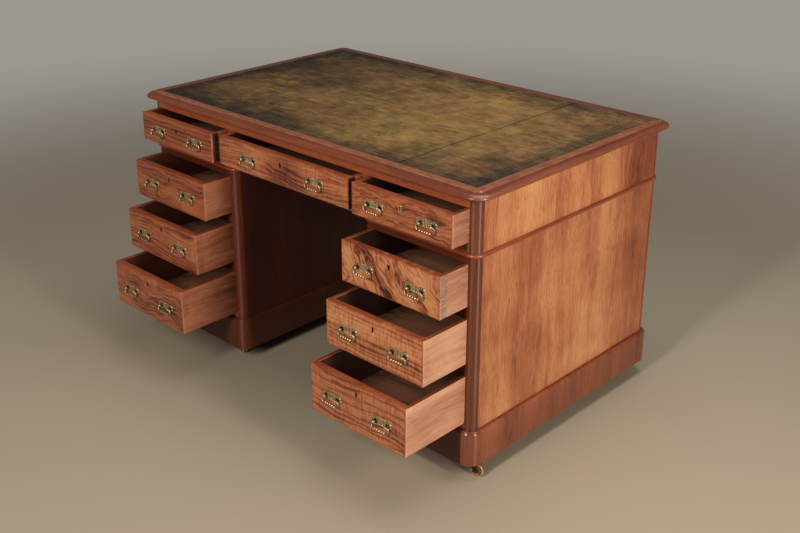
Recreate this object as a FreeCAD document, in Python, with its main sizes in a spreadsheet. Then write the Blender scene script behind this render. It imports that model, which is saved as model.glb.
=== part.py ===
import FreeCAD, Part
import math
import os
import types

import Sketcher

# A partners desk in three lifts: two pedestals on castors, a frieze case with three drawers, and a
# moulded top lined with leather. X runs along the desk, Y from the drawer side to the cupboard side
# and Z up. The origin is on the floor, under the middle of the carcass. The drawers stand part open.

doc = FreeCAD.newDocument("partners_desk")
sheet = doc.addObject("Spreadsheet::Sheet", "dims")

# Driving dimensions, in millimetres, with what each one is.
DIMENSIONS = [
    ("kneehole_width", 516, "clear width between the pedestals"),
    ("pedestal_width", 375.5, "width of a pedestal over its corner columns"),
    ("carcass_depth", 789, "depth over the corner columns"),
    ("panel_thickness", 18, "thickness of the end panels"),
    ("panel_setback", 1.2, "how far a panel stands behind the face of the columns"),
    ("guide_thickness", 4.8, "strip that keeps a drawer clear of its end panel"),
    ("guide_height", 30, "height of that strip above its runner"),
    ("rail_depth", 45, "depth of the rails, front to back"),
    ("runner_width", 22, "width of the runners under the drawer sides"),
    ("runner_height", 12, "height of the pedestal runners"),
    ("partition_thickness", 12, "board behind the drawers"),
    ("dust_board_thickness", 10, "thin board that closes a case"),
    ("divider_width", 22, "upright between two frieze drawers"),
    ("plinth_height", 97, "height of the plinth"),
    ("plinth_projection", 12, "how far the plinth stands out from the columns"),
    ("plinth_thickness", 20, "thickness of the plinth boards"),
    ("plinth_bevel", 6, "bevel along the top edge of the plinth"),
    ("corner_block", 64, "side of the plinth's corner blocks"),
    ("base_board_thickness", 18.5, "board that the lower drawer runs on"),
    ("mid_rail_height", 33, "rail between two pedestal drawers"),
    ("cap_rail_height", 16.5, "rail above the upper drawer, below the bead"),
    ("bead_height", 11, "height of the half-round bead under the frieze"),
    ("bead_projection", 5.5, "how far the bead stands out from the columns"),
    ("bead_gap", 0.1, "glue line between the bead and the columns"),
    ("frieze_sill_height", 28, "rail under the frieze drawers"),
    ("frieze_head_height", 19.5, "rail above the frieze drawers"),
    ("lower_drawer_height", 132, "height of the lower pedestal drawers"),
    ("middle_drawer_height", 121, "height of the middle pedestal drawers"),
    ("upper_drawer_height", 111, "height of the upper pedestal drawers"),
    ("frieze_drawer_height", 83, "height of the frieze drawers"),
    ("drawer_depth", 420, "drawer from its front face to its back face"),
    ("drawer_back_room", 10, "free space behind a closed drawer"),
    ("drawer_side_gap", 0.7, "clearance beside a drawer"),
    ("drawer_run_gap", 0.3, "clearance under a drawer"),
    ("drawer_top_gap", 0.7, "clearance above a drawer"),
    ("front_thickness", 21, "thickness of the drawer fronts"),
    ("drawer_side_thickness", 10, "thickness of the drawer sides"),
    ("drawer_back_thickness", 9, "thickness of the drawer backs"),
    ("drawer_back_drop", 6, "how far a drawer back stops short of the top"),
    ("drawer_bottom_thickness", 6, "thickness of the drawer bottoms"),
    ("drawer_bottom_rise", 8, "drawer bottom above the lower edge of the sides"),
    ("frieze_left_open", 60, "how far the left frieze drawer stands open"),
    ("frieze_centre_open", 50, "how far the centre frieze drawer stands open"),
    ("frieze_right_open", 61, "how far the right frieze drawer stands open"),
    ("left_upper_open", 96, "how far the left upper drawer stands open"),
    ("left_middle_open", 137, "how far the left middle drawer stands open"),
    ("left_lower_open", 199, "how far the left lower drawer stands open"),
    ("right_upper_open", 100, "how far the right upper drawer stands open"),
    ("right_middle_open", 156, "how far the right middle drawer stands open"),
    ("right_lower_open", 214, "how far the right lower drawer stands open"),
    ("handle_inset", 77, "end of a drawer front to the middle of a handle"),
    ("centre_handle_inset", 125, "the same on the wide centre drawer"),
    ("frieze_handle_drop", 43, "top edge to handle pivot, frieze drawers"),
    ("upper_handle_drop", 57, "top edge to handle pivot, upper drawers"),
    ("middle_handle_drop", 61.5, "top edge to handle pivot, middle drawers"),
    ("lower_handle_drop", 69.5, "top edge to handle pivot, lower drawers"),
    ("post_spacing", 40, "distance between a handle's two posts"),
    ("post_radius", 4, "radius of a handle post"),
    ("post_reach", 6.5, "pivot in front of the handle's plate"),
    ("post_tip", 2.6, "metal in front of the pivot bore"),
    ("shank_radius", 2.2, "threaded shank of a post"),
    ("shank_gap", 0.05, "clearance round a shank"),
    ("nut_radius", 5, "nut on the end of a shank"),
    ("nut_thickness", 3.5, "thickness of that nut"),
    ("plate_length", 68, "length of a handle's plate"),
    ("plate_lobe_radius", 9, "rounded end of the plate, round each post"),
    ("plate_crest_radius", 9, "rounded crest in the middle of the plate"),
    ("plate_rise", 12, "top of the plate above the posts"),
    ("plate_fall", 7, "bottom of the plate below the posts"),
    ("plate_thickness", 1.6, "thickness of the plate"),
    ("bail_rod_radius", 2.2, "half thickness of the bail"),
    ("bail_gap", 0.06, "running clearance of the bail in its posts"),
    ("bail_pin_stop", 0.6, "how far a bail end shows past its post"),
    ("bail_shoulder", 5, "bend beside the post"),
    ("bail_leg", 2.5, "straight leg of the bail"),
    ("bail_corner", 9, "bend into the grip"),
    ("keyhole_drop", 24, "top edge of a front to its keyhole"),
    ("keyhole_radius", 2.6, "round part of the keyhole"),
    ("keyhole_slot", 3, "width of the keyhole's slot"),
    ("keyhole_length", 8.5, "length of the slot below the round part"),
    ("escutcheon_wall", 1.3, "brass thread round the keyhole"),
    ("escutcheon_depth", 3, "depth of that thread in the wood"),
    ("lock_width", 46, "width of a drawer lock"),
    ("lock_height", 38, "height of a drawer lock"),
    ("lock_depth", 11, "depth of a drawer lock"),
    ("lock_gap", 0.1, "clearance round a lock and its bolt"),
    ("bolt_width", 18, "width of the lock's bolt"),
    ("bolt_depth", 4, "depth of the bolt"),
    ("bolt_height", 14, "height of the bolt, drawn back"),
    ("door_thickness", 20, "thickness of the cupboard doors"),
    ("door_gap", 1, "clearance round a door"),
    ("door_frame_width", 52, "width of a door's stiles and rails"),
    ("door_panel_thickness", 9, "thickness of a door's panel"),
    ("door_pin_radius", 4, "pivot pin of a door"),
    ("door_pin_length", 14, "how far a pin enters the door, and the case"),
    ("door_pin_gap", 0.06, "running clearance of a door on its pins"),
    ("knob_radius", 13, "turned wooden knob of a door"),
    ("knob_neck_radius", 7, "neck of that knob"),
    ("knob_neck_length", 9, "length of the neck"),
    ("knob_head_length", 14, "length of the head"),
    ("knob_crown_radius", 8, "flat crown of the head"),
    ("top_overhang", 26, "top beyond the columns, all round"),
    ("top_thickness", 27.5, "thickness of the moulded top"),
    ("top_corner_radius", 45, "rounded corners of the top, in plan"),
    ("top_upper_round", 13, "upper round of the moulded edge"),
    ("top_lower_round", 8, "lower round of the moulded edge"),
    ("leather_border", 47, "wooden border round the leather"),
    ("leather_thickness", 2, "thickness of the leather and its recess"),
    ("leather_gap", 0.3, "gap round the leather and at its seam"),
    ("seam_offset", 359, "seam of the leather, right of the middle"),
    ("wheel_radius", 18, "radius of a castor wheel"),
    ("wheel_width", 17, "width of a castor wheel"),
    ("wheel_hub_radius", 8, "hub of the wheel"),
    ("wheel_rim", 5, "depth of the wheel's rim"),
    ("wheel_dish", 3, "depth of the dished web"),
    ("wheel_round", 2, "eased edge of the tread"),
    ("wheel_top_gap", 2, "wheel to the fork's crown"),
    ("wheel_side_gap", 0.8, "wheel to each fork leg"),
    ("axle_radius", 3, "axle of the wheel"),
    ("axle_gap", 0.06, "running clearance of the wheel on its axle"),
    ("castor_inset", 42, "swivel axis from the plinth's faces"),
    ("castor_trail", 26, "axle behind the swivel axis"),
    ("fork_thickness", 3, "thickness of a fork leg"),
    ("crown_half", 11, "half length of the fork's crown"),
    ("crown_thickness", 4, "thickness of the crown"),
    ("collar_radius", 10, "bearing collar on the crown"),
    ("collar_height", 2.7, "height of that collar"),
    ("swivel_gap", 0.3, "collar to the plinth's corner block"),
    ("boss_radius", 6, "fork leg round the axle"),
    ("stem_radius", 5, "stem of the castor"),
    ("stem_length", 34, "length of the stem above its collar"),
    ("stem_gap", 0.06, "running clearance of the stem"),
]

# Trail direction of each castor seen from above, in degrees from +X, by pedestal and corner.
CASTOR_TURN = {
    "left": {"outer_front": 205, "inner_front": 160, "inner_rear": 110, "outer_rear": 160},
    "right": {"outer_front": 15, "inner_front": 235, "inner_rear": 80, "outer_rear": 190},
}

QUARTER_TURN = 90
TOUCH = 0.01


class Size:
    """A length that knows both its value and the sheet formula that it comes from."""

    def __init__(self, text, value):
        self.text = text
        self.value = value

    def __add__(self, other):
        other = as_size(other)
        return Size(f"({self.text} + {other.text})", self.value + other.value)

    def __radd__(self, other):
        return as_size(other) + self

    def __sub__(self, other):
        other = as_size(other)
        return Size(f"({self.text} - {other.text})", self.value - other.value)

    def __rsub__(self, other):
        return as_size(other) - self

    def __mul__(self, factor):
        return Size(f"({self.text} * {factor})", self.value * factor)

    def __rmul__(self, factor):
        return self * factor

    def __truediv__(self, divisor):
        return Size(f"({self.text} / {divisor})", self.value / divisor)

    def __neg__(self):
        return Size(f"(-1 * {self.text})", -self.value)


def as_size(number):
    """Take a plain number as a size."""
    return number if isinstance(number, Size) else Size(str(number), float(number))


def at_most(first, second):
    """The smaller of two sizes, for a round that its board limits."""
    return Size(f"min({first.text}; {second.text})", min(first.value, second.value))


def fill_sheet():
    """Write the driving dimensions to the sheet and return them as sizes."""
    for row, (alias, value, meaning) in enumerate(DIMENSIONS, start=1):
        sheet.set(f"A{row}", meaning)
        sheet.set(f"B{row}", str(value))
        sheet.setAlias(f"B{row}", alias)
    doc.recompute()
    sizes = types.SimpleNamespace()
    for alias, _, _ in DIMENSIONS:
        setattr(sizes, alias, Size(f"dims.{alias}", float(sheet.get(alias))))
    return sizes


def bind(piece, path, length):
    """Tie one property of a piece to its size formula."""
    piece.setExpression(path, as_size(length).text)


def place(piece, x, y, z):
    """Tie a piece's place to three sizes."""
    bind(piece, "Placement.Base.x", x)
    bind(piece, "Placement.Base.y", y)
    bind(piece, "Placement.Base.z", z)


def turned(axis, degrees):
    """A placement that only turns a piece about one axis."""
    return FreeCAD.Placement(FreeCAD.Vector(0, 0, 0), FreeCAD.Rotation(FreeCAD.Vector(*axis), degrees))


def board(name, x, y, z):
    """A squared board between its low and high faces along X, Y and Z."""
    piece = doc.addObject("Part::Box", name)
    bind(piece, "Length", x[1] - x[0])
    bind(piece, "Width", y[1] - y[0])
    bind(piece, "Height", z[1] - z[0])
    place(piece, x[0], y[0], z[0])
    return piece


def rod(name, foot, length, radius, turn=None):
    """A round rod from its foot, upright unless it is turned."""
    piece = doc.addObject("Part::Cylinder", name)
    if turn is not None:
        piece.Placement = turn
    bind(piece, "Radius", radius)
    bind(piece, "Height", length)
    place(piece, *foot)
    return piece


def rod_inward(name, foot, length, radius):
    """A rod along +Y, from the drawer side of the desk inwards."""
    return rod(name, foot, length, radius, turned((1, 0, 0), -90))


def rod_across(name, foot, length, radius):
    """A rod along +X."""
    return rod(name, foot, length, radius, turned((0, 1, 0), 90))


def joined(name, pieces):
    """Several shapes made into one solid."""
    piece = doc.addObject("Part::MultiFuse", name)
    piece.Shapes = pieces
    return piece


def gathered(name, pieces):
    """Several separate solids held as one object."""
    piece = doc.addObject("Part::Compound", name)
    piece.Links = pieces
    return piece


def cut(name, base, tools):
    """A piece with one or more shapes cut out of it."""
    piece = doc.addObject("Part::Cut", name)
    piece.Base = base
    piece.Tool = tools[0] if len(tools) == 1 else gathered(name + "_tools", tools)
    return piece


def new_body(name):
    """A body that a sketch and its features go into."""
    return doc.addObject("PartDesign::Body", name)


def new_sketch(body, name, role):
    """A sketch on one of the body's own origin planes."""
    sketch = body.newObject("Sketcher::SketchObject", f"{body.Name}_{name}")
    plane = next(item for item in body.Origin.OriginFeatures if item.Role == role)
    sketch.AttachmentSupport = [(plane, "")]
    sketch.MapMode = "FlatFace"
    return sketch


def pin_point(sketch, edge, end, point):
    """Tie one end of a sketch edge to its two coordinates."""
    for kind, length in (("DistanceX", point[0]), ("DistanceY", point[1])):
        length = as_size(length)
        number = sketch.addConstraint(Sketcher.Constraint(kind, -1, 1, edge, end, length.value))
        sketch.setExpression(f"Constraints[{number}]", length.text)


def vector(point):
    """A sketch point's value now."""
    return FreeCAD.Vector(as_size(point[0]).value, as_size(point[1]).value, 0)


def draw_outline(sketch, corners):
    """A closed outline of straight edges through its corners."""
    count = len(corners)
    for number in range(count):
        start = vector(corners[number])
        end = vector(corners[(number + 1) % count])
        sketch.addGeometry(Part.LineSegment(start, end))
    for number in range(count):
        sketch.addConstraint(Sketcher.Constraint("Coincident", number, 2, (number + 1) % count, 1))
    for number in range(count):
        pin_point(sketch, number, 1, corners[number])


def edges_of(feature, wanted):
    """Names of a feature's edges whose middle point passes a test."""
    names = []
    for number, edge in enumerate(feature.Shape.Edges, start=1):
        if wanted(edge.CenterOfMass):
            names.append(f"Edge{number}")
    return names


def dress(body, kind, name, feature, wanted, size_name, length):
    """A fillet or chamfer on those edges of a body's last feature that pass a test."""
    doc.recompute()
    finish = body.newObject(kind, f"{body.Name}_{name}")
    finish.Base = (feature, edges_of(feature, wanted))
    bind(finish, size_name, length)
    return finish


def rectangle(length, depth):
    """Corners of a rectangle about the origin."""
    half_length = length / 2
    half_depth = depth / 2
    return [
        (-half_length, -half_depth),
        (half_length, -half_depth),
        (half_length, half_depth),
        (-half_length, half_depth),
    ]


def rounded_slab(name, length, depth, height, radius):
    """A slab below its own origin, with rounded upright corners."""
    body = new_body(name)
    sketch = new_sketch(body, "plan", "XY_Plane")
    draw_outline(sketch, rectangle(length, depth))
    pad = body.newObject("PartDesign::Pad", f"{name}_pad")
    pad.Profile = sketch
    pad.Reversed = True
    bind(pad, "Length", height)
    middle = -height.value / 2
    corners = dress(body, "PartDesign::Fillet", "corners", pad, lambda c: abs(c.z - middle) < TOUCH,
                    "Radius", radius)
    return body, corners


def turned_piece(name, profile):
    """A piece turned about its own Z axis from a profile of radius and height."""
    body = new_body(name)
    sketch = new_sketch(body, "profile", "XZ_Plane")
    draw_outline(sketch, profile)
    turning = body.newObject("PartDesign::Revolution", f"{name}_turning")
    turning.Profile = sketch
    turning.ReferenceAxis = (sketch, ["V_Axis"])
    turning.Angle = 360
    return body


s = fill_sheet()
nodes = []


def node(label, piece):
    """Give a finished sub-part its name."""
    piece.Label = label
    nodes.append(piece)
    return piece


# Places that the pieces share
column_width = s.panel_setback + s.panel_thickness + s.guide_thickness
inner_x = s.kneehole_width / 2
outer_x = inner_x + s.pedestal_width
opening_in = inner_x + column_width
opening_out = outer_x - column_width
front_y = -s.carcass_depth / 2
rear_y = s.carcass_depth / 2
panel_inset = s.panel_setback + s.panel_thickness
drawer_room = s.drawer_run_gap + s.drawer_top_gap
crown_z = s.wheel_radius * 2 + s.wheel_top_gap
collar_z = crown_z + s.crown_thickness
plinth_bottom = collar_z + s.collar_height + s.swivel_gap
plinth_top = plinth_bottom + s.plinth_height
lower_z = plinth_top + s.base_board_thickness
lower_top = lower_z + s.lower_drawer_height + drawer_room
middle_z = lower_top + s.mid_rail_height
middle_top = middle_z + s.middle_drawer_height + drawer_room
upper_z = middle_top + s.mid_rail_height
upper_top = upper_z + s.upper_drawer_height + drawer_room
bead_z = upper_top + s.cap_rail_height
pedestal_top = bead_z + s.bead_height
frieze_z = pedestal_top + s.frieze_sill_height
frieze_top = frieze_z + s.frieze_drawer_height + drawer_room
case_top = frieze_top + s.frieze_head_height
desk_top = case_top + s.top_thickness
partition_y = front_y + s.drawer_depth + s.drawer_back_room
rails_y = (front_y, front_y + s.rail_depth)
rear_rails_y = (rear_y - s.rail_depth, rear_y)
panels_y = (front_y + column_width, rear_y - column_width)
guides_y = (front_y + column_width, partition_y)
runners_y = (front_y + s.rail_depth, partition_y)

SIDES = {"left": -1, "right": 1}


def on_side(side, low, high):
    """A stretch along X, mirrored for the left-hand side."""
    return (low, high) if side > 0 else (-high, -low)


def column(name, x, y, toward_x, toward_y, z):
    """A quarter-round corner column about its inner corner, rounded towards the two signs."""
    turns = {(1, 1): 0, (-1, 1): 1, (-1, -1): 2, (1, -1): 3}[(toward_x, toward_y)]
    piece = rod(name, (x, y, z[0]), z[1] - z[0], column_width, turned((0, 0, 1), turns * QUARTER_TURN))
    piece.Angle = QUARTER_TURN
    return piece


def plinth_corner(name, x, y, toward_x, toward_y):
    """A solid plinth corner with a rounded, bevelled outer edge and a bore for the castor's stem."""
    body = new_body(name)
    sketch = new_sketch(body, "plan", "XY_Plane")
    zero = as_size(0)
    draw_outline(sketch, [
        (zero, zero),
        (s.corner_block, zero),
        (s.corner_block, s.corner_block),
        (zero, s.corner_block),
    ])
    pad = body.newObject("PartDesign::Pad", f"{name}_pad")
    pad.Profile = sketch
    bind(pad, "Length", s.plinth_height)
    side = s.corner_block.value
    height = s.plinth_height.value
    round_edge = dress(body, "PartDesign::Fillet", "round", pad,
                       lambda c: c.x > side - TOUCH and c.y > side - TOUCH,
                       "Radius", column_width + s.plinth_projection)
    dress(body, "PartDesign::Chamfer", "bevel", round_edge,
          lambda c: c.z > height - TOUCH and c.x > TOUCH and c.y > TOUCH, "Size", s.plinth_bevel)
    turns = {(1, 1): 0, (-1, 1): 1, (-1, -1): 2, (1, -1): 3}[(toward_x, toward_y)]
    body.Placement = turned((0, 0, 1), turns * QUARTER_TURN)
    place(body, x - s.corner_block * toward_x, y - s.corner_block * toward_y, plinth_bottom)
    axis_x = x - s.castor_inset * toward_x
    axis_y = y - s.castor_inset * toward_y
    depth = s.stem_length + s.swivel_gap
    bore = rod(f"{name}_bore", (axis_x, axis_y, plinth_bottom), depth, s.stem_radius + s.stem_gap)
    return cut(f"{name}_bored", body, [bore])


def plinth_board(name, length, turn, x, y):
    """A plinth board with a bevelled top edge, its outer face turned one of four ways."""
    body = new_body(name)
    sketch = new_sketch(body, "section", "XZ_Plane")
    zero = as_size(0)
    draw_outline(sketch, [
        (zero, zero),
        (s.plinth_thickness, zero),
        (s.plinth_thickness, s.plinth_height - s.plinth_bevel),
        (s.plinth_thickness - s.plinth_bevel, s.plinth_height),
        (zero, s.plinth_height),
    ])
    pad = body.newObject("PartDesign::Pad", f"{name}_pad")
    pad.Profile = sketch
    pad.Midplane = True
    bind(pad, "Length", length)
    body.Placement = turned((0, 0, 1), turn)
    place(body, x, y, plinth_bottom)
    return body


def plinth(name, side):
    """The plinth of one pedestal: four corner blocks and the boards between them."""
    low, high = on_side(side, inner_x - s.plinth_projection, outer_x + s.plinth_projection)
    front = front_y - s.plinth_projection
    rear = rear_y + s.plinth_projection
    pieces = []
    for mark_x, x, toward_x in (("low", low, -1), ("high", high, 1)):
        for mark_y, y, toward_y in (("front", front, -1), ("rear", rear, 1)):
            pieces.append(plinth_corner(f"{name}_{mark_x}_{mark_y}_block", x, y, toward_x, toward_y))
    middle_x = (low + high) / 2
    across = high - low - s.corner_block * 2
    along = rear - front - s.corner_block * 2
    zero = as_size(0)
    inset = s.plinth_thickness
    pieces.append(plinth_board(f"{name}_high_board", along, 0, high - inset, zero))
    pieces.append(plinth_board(f"{name}_rear_board", across, 90, middle_x, rear - inset))
    pieces.append(plinth_board(f"{name}_low_board", along, 180, low + inset, zero))
    pieces.append(plinth_board(f"{name}_front_board", across, 270, middle_x, front + inset))
    return pieces


def bead(name, side):
    """The half-round bead round the head of a pedestal, with its corners rounded as the columns are."""
    low, high = on_side(side, inner_x, outer_x)
    length = high - low + s.bead_projection * 2
    depth = s.carcass_depth + s.bead_projection * 2
    outside, corners = rounded_slab(f"{name}_outside", length, depth, s.bead_height,
                                    column_width + s.bead_projection)
    bottom = -s.bead_height.value
    bead_round = s.bead_height / 2 - s.bead_gap
    dress(outside, "PartDesign::Fillet", "round", corners,
          lambda c: abs(c.z) < TOUCH or abs(c.z - bottom) < TOUCH, "Radius", bead_round)
    clear = s.bead_gap * 2
    inside, _ = rounded_slab(f"{name}_inside", high - low + clear, s.carcass_depth + clear, s.bead_height,
                             column_width + s.bead_gap)
    for body in (outside, inside):
        place(body, (low + high) / 2, as_size(0), pedestal_top)
    return cut(name, outside, [inside])


def door_pivot(side):
    """Axis of a cupboard door, in the rounded edge of its outer stile."""
    x = (opening_out - s.door_gap - s.door_thickness / 2) * side
    return x, rear_y - s.door_thickness / 2


def pedestal(name, side):
    """One pedestal: columns, panels, boards, rails, runners, guides, plinth and bead."""
    case = on_side(side, inner_x, outer_x)
    opening = on_side(side, opening_in, opening_out)
    between_panels = on_side(side, inner_x + panel_inset, outer_x - panel_inset)
    walls_z = (plinth_top, pedestal_top)
    pieces = plinth(f"{name}_plinth", side)
    for mark_x, x, toward_x in (("low", opening[0], -1), ("high", opening[1], 1)):
        for mark_y, y, toward_y in (("front", panels_y[0], -1), ("rear", panels_y[1], 1)):
            pieces.append(column(f"{name}_{mark_x}_{mark_y}_column", x, y, toward_x, toward_y, walls_z))
    low_panel = (case[0] + s.panel_setback, between_panels[0])
    high_panel = (between_panels[1], case[1] - s.panel_setback)
    pieces.append(board(f"{name}_low_panel", low_panel, panels_y, walls_z))
    pieces.append(board(f"{name}_high_panel", high_panel, panels_y, walls_z))
    pivot_x, pivot_y = door_pivot(side)
    base = board(f"{name}_base", opening, (front_y, rear_y), (plinth_top, lower_z))
    socket = rod(f"{name}_base_socket", (pivot_x, pivot_y, lower_z - s.door_pin_length), s.door_pin_length,
                 s.door_pin_radius)
    pieces.append(cut(f"{name}_base_board", base, [socket]))
    pieces.append(board(f"{name}_lower_rail", opening, rails_y, (lower_top, middle_z)))
    pieces.append(board(f"{name}_upper_rail", opening, rails_y, (middle_top, upper_z)))
    pieces.append(board(f"{name}_cap_rail", opening, rails_y, (upper_top, pedestal_top)))
    rear_cap = board(f"{name}_rear_cap", opening, rear_rails_y, (upper_top, pedestal_top))
    socket = rod(f"{name}_cap_socket", (pivot_x, pivot_y, upper_top), s.door_pin_length, s.door_pin_radius)
    pieces.append(cut(f"{name}_rear_cap_rail", rear_cap, [socket]))
    dust_z = (pedestal_top - s.dust_board_thickness, pedestal_top)
    pieces.append(board(f"{name}_dust_board", between_panels, (rails_y[1], rear_rails_y[0]), dust_z))
    partition_z = (lower_z, dust_z[0])
    partition_run = (partition_y, partition_y + s.partition_thickness)
    pieces.append(board(f"{name}_partition", opening, partition_run, partition_z))
    for level, z in (("lower", lower_z), ("middle", middle_z), ("upper", upper_z)):
        guide_z = (z, z + s.guide_height)
        if level == "lower":
            guide_z = (plinth_top, guide_z[1])
        else:
            runner_z = (z - s.runner_height, z)
            low_runner = (between_panels[0], between_panels[0] + s.runner_width)
            high_runner = (between_panels[1] - s.runner_width, between_panels[1])
            pieces.append(board(f"{name}_{level}_low_runner", low_runner, runners_y, runner_z))
            pieces.append(board(f"{name}_{level}_high_runner", high_runner, runners_y, runner_z))
        low_guide = (between_panels[0], opening[0])
        high_guide = (opening[1], between_panels[1])
        pieces.append(board(f"{name}_{level}_low_guide", low_guide, guides_y, guide_z))
        pieces.append(board(f"{name}_{level}_high_guide", high_guide, guides_y, guide_z))
    pieces.append(bead(f"{name}_bead", side))
    return node(f"{name}_case", gathered(f"{name}_case", pieces))


def frieze_case():
    """The upper case: columns, panels, rails, dividers, runners and a dust board."""
    walls_z = (pedestal_top, case_top)
    between_columns = (-opening_out, opening_out)
    pieces = []
    for mark_x, toward_x in SIDES.items():
        for mark_y, y, toward_y in (("front", panels_y[0], -1), ("rear", panels_y[1], 1)):
            corner_name = f"frieze_{mark_x}_{mark_y}_column"
            pieces.append(column(corner_name, opening_out * toward_x, y, toward_x, toward_y, walls_z))
        panel_x = on_side(toward_x, outer_x - panel_inset, outer_x - s.panel_setback)
        pieces.append(board(f"frieze_{mark_x}_panel", panel_x, panels_y, walls_z))
    pieces.append(board("frieze_sill", between_columns, rails_y, (pedestal_top, frieze_z)))
    pieces.append(board("frieze_head", between_columns, rails_y, (frieze_top, case_top)))
    rear_panel_y = (rear_y - panel_inset, rear_y - s.panel_setback)
    pieces.append(board("frieze_rear_panel", between_columns, rear_panel_y, walls_z))
    inside = (panel_inset - outer_x, outer_x - panel_inset)
    dust_z = (pedestal_top, pedestal_top + s.dust_board_thickness)
    pieces.append(board("frieze_dust_board", inside, (rails_y[1], panels_y[1]), dust_z))
    partition_run = (partition_y, partition_y + s.partition_thickness)
    pieces.append(board("frieze_partition", between_columns, partition_run, (dust_z[1], case_top)))
    runner_z = (dust_z[1], frieze_z)
    for mark, side in SIDES.items():
        divider = on_side(side, inner_x, inner_x + s.divider_width)
        spread = s.drawer_side_gap + s.drawer_side_thickness
        shared = (divider[0] - spread, divider[1] + spread)
        end_runner = on_side(side, outer_x - panel_inset - s.runner_width, outer_x - panel_inset)
        end_guide = on_side(side, opening_out, outer_x - panel_inset)
        divider_y = (front_y, partition_y)
        guide_z = (frieze_z, frieze_z + s.guide_height)
        pieces.append(board(f"frieze_{mark}_divider", divider, divider_y, (frieze_z, frieze_top)))
        pieces.append(board(f"frieze_{mark}_shared_runner", shared, runners_y, runner_z))
        pieces.append(board(f"frieze_{mark}_end_runner", end_runner, runners_y, runner_z))
        pieces.append(board(f"frieze_{mark}_end_guide", end_guide, guides_y, guide_z))
    return node("frieze_case", gathered("frieze_case", pieces))


def moulded_top():
    """The top: a slab with rounded corners, a moulded edge and a shallow recess for the leather."""
    length = (outer_x + s.top_overhang) * 2
    depth = s.carcass_depth + s.top_overhang * 2
    body, corners = rounded_slab("top_slab", length, depth, s.top_thickness, s.top_corner_radius)
    bottom = -s.top_thickness.value
    upper = dress(body, "PartDesign::Fillet", "upper_round", corners, lambda c: abs(c.z) < TOUCH,
                  "Radius", at_most(s.top_upper_round, s.top_thickness / 2))
    dress(body, "PartDesign::Fillet", "lower_round", upper, lambda c: abs(c.z - bottom) < TOUCH,
          "Radius", at_most(s.top_lower_round, s.top_thickness / 3))
    recess = new_sketch(body, "recess", "XY_Plane")
    draw_outline(recess, rectangle(length - s.leather_border * 2, depth - s.leather_border * 2))
    pocket = body.newObject("PartDesign::Pocket", "top_slab_pocket")
    pocket.Profile = recess
    bind(pocket, "Length", s.leather_thickness)
    place(body, as_size(0), as_size(0), desk_top)
    return node("moulded_top", body)


def leather_lining():
    """The leather in its recess: a long panel and a shorter one, joined at a seam."""
    half_length = outer_x + s.top_overhang - s.leather_border - s.leather_gap
    half_depth = s.carcass_depth / 2 + s.top_overhang - s.leather_border - s.leather_gap
    along = (-half_depth, half_depth)
    thick = (desk_top - s.leather_thickness, desk_top)
    main = board("leather_main", (-half_length, s.seam_offset), along, thick)
    end = board("leather_end", (s.seam_offset + s.leather_gap, half_length), along, thick)
    return node("leather_lining", gathered("leather_lining", [main, end]))


def keyhole(name, x, y, z, depth, spread):
    """A keyhole, round above and slotted below, that grows by its spread."""
    eye = rod_inward(f"{name}_eye", (x, y, z), depth, s.keyhole_radius + spread)
    half = s.keyhole_slot / 2 + spread
    slot = board(f"{name}_slot", (x - half, x + half), (y, y + depth), (z - s.keyhole_length - spread, z))
    return joined(name, [eye, slot])


def handle_plate(name, x, y, z):
    """A shaped brass plate behind a handle: a bar with two round ends and a crest, bored for the posts."""
    reach = s.plate_length / 2 - s.plate_lobe_radius
    rear = y - s.plate_thickness
    bar = board(f"{name}_bar", (x - reach, x + reach), (rear, y),
                (z - s.plate_fall, z + s.plate_rise - s.plate_crest_radius / 2))
    shapes = [bar]
    holes = []
    for mark, side in SIDES.items():
        lobe_foot = (x + reach * side, rear, z)
        shapes.append(rod_inward(f"{name}_{mark}_lobe", lobe_foot, s.plate_thickness, s.plate_lobe_radius))
        post_x = x + s.post_spacing / 2 * side
        holes.append(rod_inward(f"{name}_{mark}_hole", (post_x, rear, z), s.plate_thickness,
                                s.shank_radius + s.shank_gap))
    crest_z = z + s.plate_rise - s.plate_crest_radius
    shapes.append(rod_inward(f"{name}_crest", (x, rear, crest_z), s.plate_thickness, s.plate_crest_radius))
    return cut(name, joined(f"{name}_blank", shapes), holes)


def handle_post(name, x, y, z):
    """A turned post with a cross bore for the bail, and its shank through plate and drawer front."""
    face = y - s.plate_thickness
    length = s.post_reach + s.bail_rod_radius + s.post_tip
    head = rod_inward(f"{name}_head", (x, face - length, z), length, s.post_radius)
    shank_length = s.plate_thickness + s.front_thickness + s.nut_thickness
    shank = rod_inward(f"{name}_shank", (x, face, z), shank_length, s.shank_radius)
    reach = s.post_radius + s.post_tip
    bore_foot = (x - reach, face - s.post_reach, z)
    bore = rod_across(f"{name}_bore", bore_foot, reach * 2, s.bail_rod_radius + s.bail_gap)
    return cut(name, joined(f"{name}_blank", [head, shank]), [bore])


def handle_nut(name, x, y, z):
    """A six-sided nut on the end of a post's shank, inside the drawer."""
    blank = doc.addObject("Part::Prism", f"{name}_blank")
    blank.Polygon = 6
    blank.Placement = turned((1, 0, 0), -90)
    bind(blank, "Circumradius", s.nut_radius)
    bind(blank, "Height", s.nut_thickness)
    place(blank, x, y, z)
    hole = rod_inward(f"{name}_hole", (x, y, z), s.nut_thickness, s.shank_radius + s.shank_gap)
    return cut(name, blank, [hole])


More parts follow.
